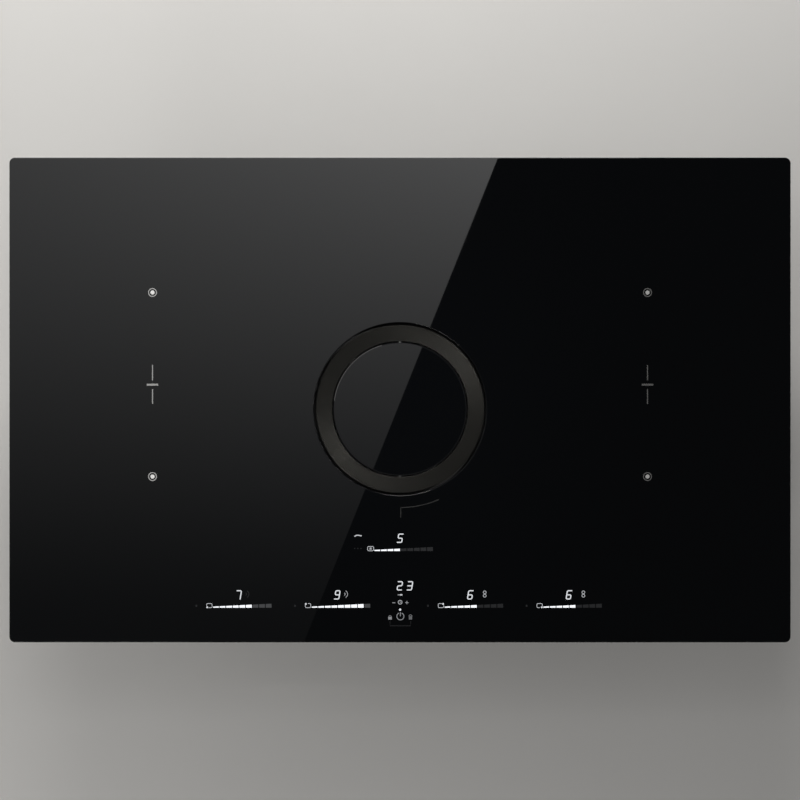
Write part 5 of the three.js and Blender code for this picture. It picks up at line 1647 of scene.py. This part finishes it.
class COOKTOP_OT_blower(CooktopOperator, bpy.types.Operator):
    """Make the blower's scroll, inlet plate, impeller, motor and shaft"""

    bl_idname = "cooktop.blower"
    bl_label = "Blower"

    # How far the inlet plate's mouth stands above the plate itself
    MOUTH_HEIGHT = 4 * MM
    SCREW_CIRCLE = 88 * MM
    SCREWS = 6
    SCREW_HEAD = (7 * MM, 2 * MM)

    def make(self):
        dress_each("black_plastic", "blower_scroll", "blower_inlet_plate", edge=0.4 * MM)
        dress("motor_plate", "galvanised", edge=0.3 * MM)
        dress("blower_motor", "aluminium", edge=0.6 * MM)
        dress("motor_shaft", "stainless", edge=0.3 * MM)
        dress("blower_impeller", "grey_plastic", edge=0.25 * MM)
        impeller_low, impeller_high = box_of("blower_impeller")
        axis = (impeller_low + impeller_high) / 2
        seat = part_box("blower_inlet_plate")[1][2] - self.MOUTH_HEIGHT
        places = []
        for step in range(self.SCREWS):
            angle = FULL_TURN * (step + 0.5) / self.SCREWS
            x = axis.x + self.SCREW_CIRCLE * math.cos(angle)
            y = axis.y + self.SCREW_CIRCLE * math.sin(angle)
            places.append(((x, y, seat), UPWARDS))
        planted("blower_screws", button_screw(*self.SCREW_HEAD), places, "galvanised")


class COOKTOP_OT_drip_drawer(CooktopOperator, bpy.types.Operator):
    """Make the drip drawer"""

    bl_idname = "cooktop.drip_drawer"
    bl_label = "Drip drawer"

    def make(self):
        dress("drip_drawer", "grey_plastic", edge=0.6 * MM)


class COOKTOP_OT_clamps(CooktopOperator, bpy.types.Operator):
    """Make the worktop clamps and their screws"""

    bl_idname = "cooktop.clamps"
    bl_label = "Worktop clamps"

    def make(self):
        clamps = on_both_sides("clamp_front", "clamp_rear", "clamp_screw_front", "clamp_screw_rear")
        dress_each("galvanised", *clamps, edge=0.4 * MM)


class COOKTOP_OT_stage(CooktopOperator, bpy.types.Operator):
    """Set the floor, the lights and the camera straight above the glass"""

    bl_idname = "cooktop.stage"
    bl_label = "Stage"

    # What the camera sees from side to side at the height of the glass, in metres
    VIEW_WIDTH = 0.8498
    LENS = 135
    SENSOR = 36
    FARTHEST_SEEN = 50
    FLOOR_REACH = 12
    FLOOR_CELLS = 8
    PANEL_ABOVE_GLASS = 2.6
    PANEL_LEFT = -1.6
    # How far the panel's straight edge runs on past both mirrored ends, as a share of the run between them
    PANEL_OVERRUN = 0.6
    # Where the softbox's straight edge is mirrored in the glass
    MIRRORED_EDGE = ((0.103, 0.2549), (-0.0977, -0.2464))
    # The softbox's light grows from its front edge to its rear one, and a little to the right
    SOFTBOX_FRONT_LIGHT = 0.09
    SOFTBOX_REAR_LIGHT = 1.25
    SOFTBOX_GROWTH = 1.75
    SOFTBOX_LEAN = 0.23
    LAMP_COLOUR = (1.0, 0.985, 0.96)
    # Each lamp's kind, place, target, power in watts and own settings
    LAMPS = {
        "key_light": ("AREA", (-0.12, 1.7, 0.85), (0, 0.2, 0), 34, {"size": 1.0, "size_y": 0.5}),
        "rim_light": ("AREA", (-1.65, 1.4, 1.59), (0, 0, 0.2), 6, {"size": 2.8, "size_y": 0.4}),
        "fill_light": ("AREA", (-0.9, -1.8, 1.1), (0, -0.2, 0), 17, {"size": 1.2, "size_y": 0.25}),
        "ring_light": (
            "SPOT",
            (0.86, 0.58, 2.5),
            (*INLET.xy, RING_HIGH.z),
            200,
            {"spot_size": math.radians(6), "spot_blend": 0.5, "shadow_soft_size": 0.15},
        ),
    }
    # Brightness of the sky at heights from the horizon at 0 to overhead at 1
    SKY = ((0.0, 0.22), (0.6, 0.2), (0.93, 0.04))

    def make(self):
        self.scene = bpy.context.scene
        self.scene.view_settings.view_transform = "Standard"
        self.make_camera()
        self.make_floor()
        self.make_softbox()
        self.make_lights()
        self.make_world()

    def make_camera(self):
        data = bpy.data.cameras.new("camera")
        data.lens = self.LENS
        data.sensor_width = self.SENSOR
        data.clip_end = self.FARTHEST_SEEN
        self.height = self.VIEW_WIDTH * self.LENS / self.SENSOR
        camera = bpy.data.objects.new("camera", data)
        camera.location = (0, 0, GLASS_HIGH.z + self.height)
        self.scene.collection.objects.link(camera)
        self.scene.camera = camera

    def make_floor(self):
        shape = bmesh.new()
        cells = self.FLOOR_CELLS
        bmesh.ops.create_grid(shape, x_segments=cells, y_segments=cells, size=self.FLOOR_REACH)
        mesh = bpy.data.meshes.new("floor")
        shape.to_mesh(mesh)
        shape.free()
        floor = bpy.data.objects.new("floor", mesh)
        self.scene.collection.objects.link(floor)
        look = Finish("floor")
        tone = look.noise(300, 4)
        look.set(
            Base_Color=look.mixed(tone, shade(colours().floor, 0.97), shade(colours().floor, 1.03)),
            Roughness=0.7 + look.noise(20, 2) * 0.1,
            Normal=look.raised(look.noise(1.5, 3), 0.02),
        )
        mesh.materials.append(look.material)

    def make_softbox(self):
        """A light panel over the left of the glass, brighter towards the rear, cut to a straight edge."""
        reach = 1 + self.PANEL_ABOVE_GLASS / self.height
        rear, front = (Vector(point) * reach for point in self.MIRRORED_EDGE)
        overrun = (rear - front) * self.PANEL_OVERRUN
        half_depth = GLASS_HIGH.y * reach
        top, bottom = rear + overrun, front - overrun
        left = self.PANEL_LEFT
        mesh = bpy.data.meshes.new("softbox")
        z = GLASS_HIGH.z + self.PANEL_ABOVE_GLASS
        corners = [(left, top.y, z), (left, bottom.y, z), (bottom.x, bottom.y, z), (top.x, top.y, z)]
        mesh.from_pydata(corners, [], [(0, 1, 2, 3)])
        softbox = bpy.data.objects.new("softbox", mesh)
        self.scene.collection.objects.link(softbox)
        softbox.visible_camera = False
        look = Finish("softbox")
        half_width = GLASS_HIGH.x * reach / 2
        along = ((look.axis("Y") * MM / half_depth + 1) * 0.5).maths("ABSOLUTE")
        across = look.axis("X") * MM / half_width + 1
        grown_light = along**self.SOFTBOX_GROWTH * (self.SOFTBOX_REAR_LIGHT - self.SOFTBOX_FRONT_LIGHT)
        level = (grown_light + self.SOFTBOX_FRONT_LIGHT) * (1 + across * along * self.SOFTBOX_LEAN)
        light = look.add("ShaderNodeEmission", None, {"Color": level, "Strength": 1.0})
        surface = look.tree.nodes["Material Output"].inputs["Surface"]
        plug(look.tree, light, surface)
        mesh.materials.append(look.material)

    def make_lights(self):
        """A low light behind, a strip at the left, a fill in front and a narrow beam on the ring."""
        for name, (kind, place, target, power, settings) in self.LAMPS.items():
            data = bpy.data.lights.new(name, kind)
            if kind == "AREA":
                data.shape = "RECTANGLE"
            for setting, value in settings.items():
                setattr(data, setting, value)
            data.energy = power
            data.color = self.LAMP_COLOUR
            lamp = bpy.data.objects.new(name, data)
            lamp.location = place
            aim = Vector(target) - Vector(place)
            lamp.rotation_euler = aim.to_track_quat("-Z", "Y").to_euler()
            self.scene.collection.objects.link(lamp)

    def make_world(self):
        """Soft light that is dark overhead and brighter towards the horizon."""
        world = bpy.data.worlds.new("studio")
        world.use_nodes = True
        self.scene.world = world
        sky = Graph(world.node_tree)
        ray = sky.add("ShaderNodeTexCoord", output="Generated")
        height = sky.add("ShaderNodeSeparateXYZ", None, {"Vector": ray}, output="Z")
        light = sky.ramp(height, [(position, (brightness,) * 3) for position, brightness in self.SKY])
        background = world.node_tree.nodes["Background"]
        plug(world.node_tree, light, background.inputs["Color"])


class COOKTOP_PT_pieces(bpy.types.Panel):
    """The cooktop's pieces, with the sizes and colours that they take"""

    bl_idname = "COOKTOP_PT_pieces"
    bl_label = "Cooktop"
    bl_space_type = "VIEW_3D"
    bl_region_type = "UI"
    bl_category = "Cooktop"

    def draw(self, context):
        for operator in OPERATORS:
            self.layout.operator(operator.bl_idname)
        for group in (context.scene.cooktop_sizes, context.scene.cooktop_colours):
            column = self.layout.column()
            for name in group.bl_rna.properties.keys():
                if name not in ("rna_type", "name"):
                    column.prop(group, name)


OPERATORS = (
    COOKTOP_OT_stage,
    COOKTOP_OT_glass,
    COOKTOP_OT_marks,
    COOKTOP_OT_inlet,
    COOKTOP_OT_grease_filter,
    COOKTOP_OT_casing,
    COOKTOP_OT_coils,
    COOKTOP_OT_electronics,
    COOKTOP_OT_terminal_box,
    COOKTOP_OT_suction_box,
    COOKTOP_OT_blower,
    COOKTOP_OT_drip_drawer,
    COOKTOP_OT_clamps,
)
GROUPS = {"cooktop_sizes": CooktopSizes, "cooktop_colours": CooktopColours}
CLASSES = (*GROUPS.values(), *OPERATORS, COOKTOP_PT_pieces)


def register():
    for each in CLASSES:
        bpy.utils.register_class(each)
    for name, group in GROUPS.items():
        setattr(bpy.types.Scene, name, bpy.props.PointerProperty(type=group))


def unregister():
    for name in GROUPS:
        delattr(bpy.types.Scene, name)
    for each in reversed(CLASSES):
        bpy.utils.unregister_class(each)


def main():
    """Makes every piece in order."""
    register()
    for operator in OPERATORS:
        family, name = operator.bl_idname.split(".")
        getattr(getattr(bpy.ops, family), name)()


if __name__ == "__main__":
    main()
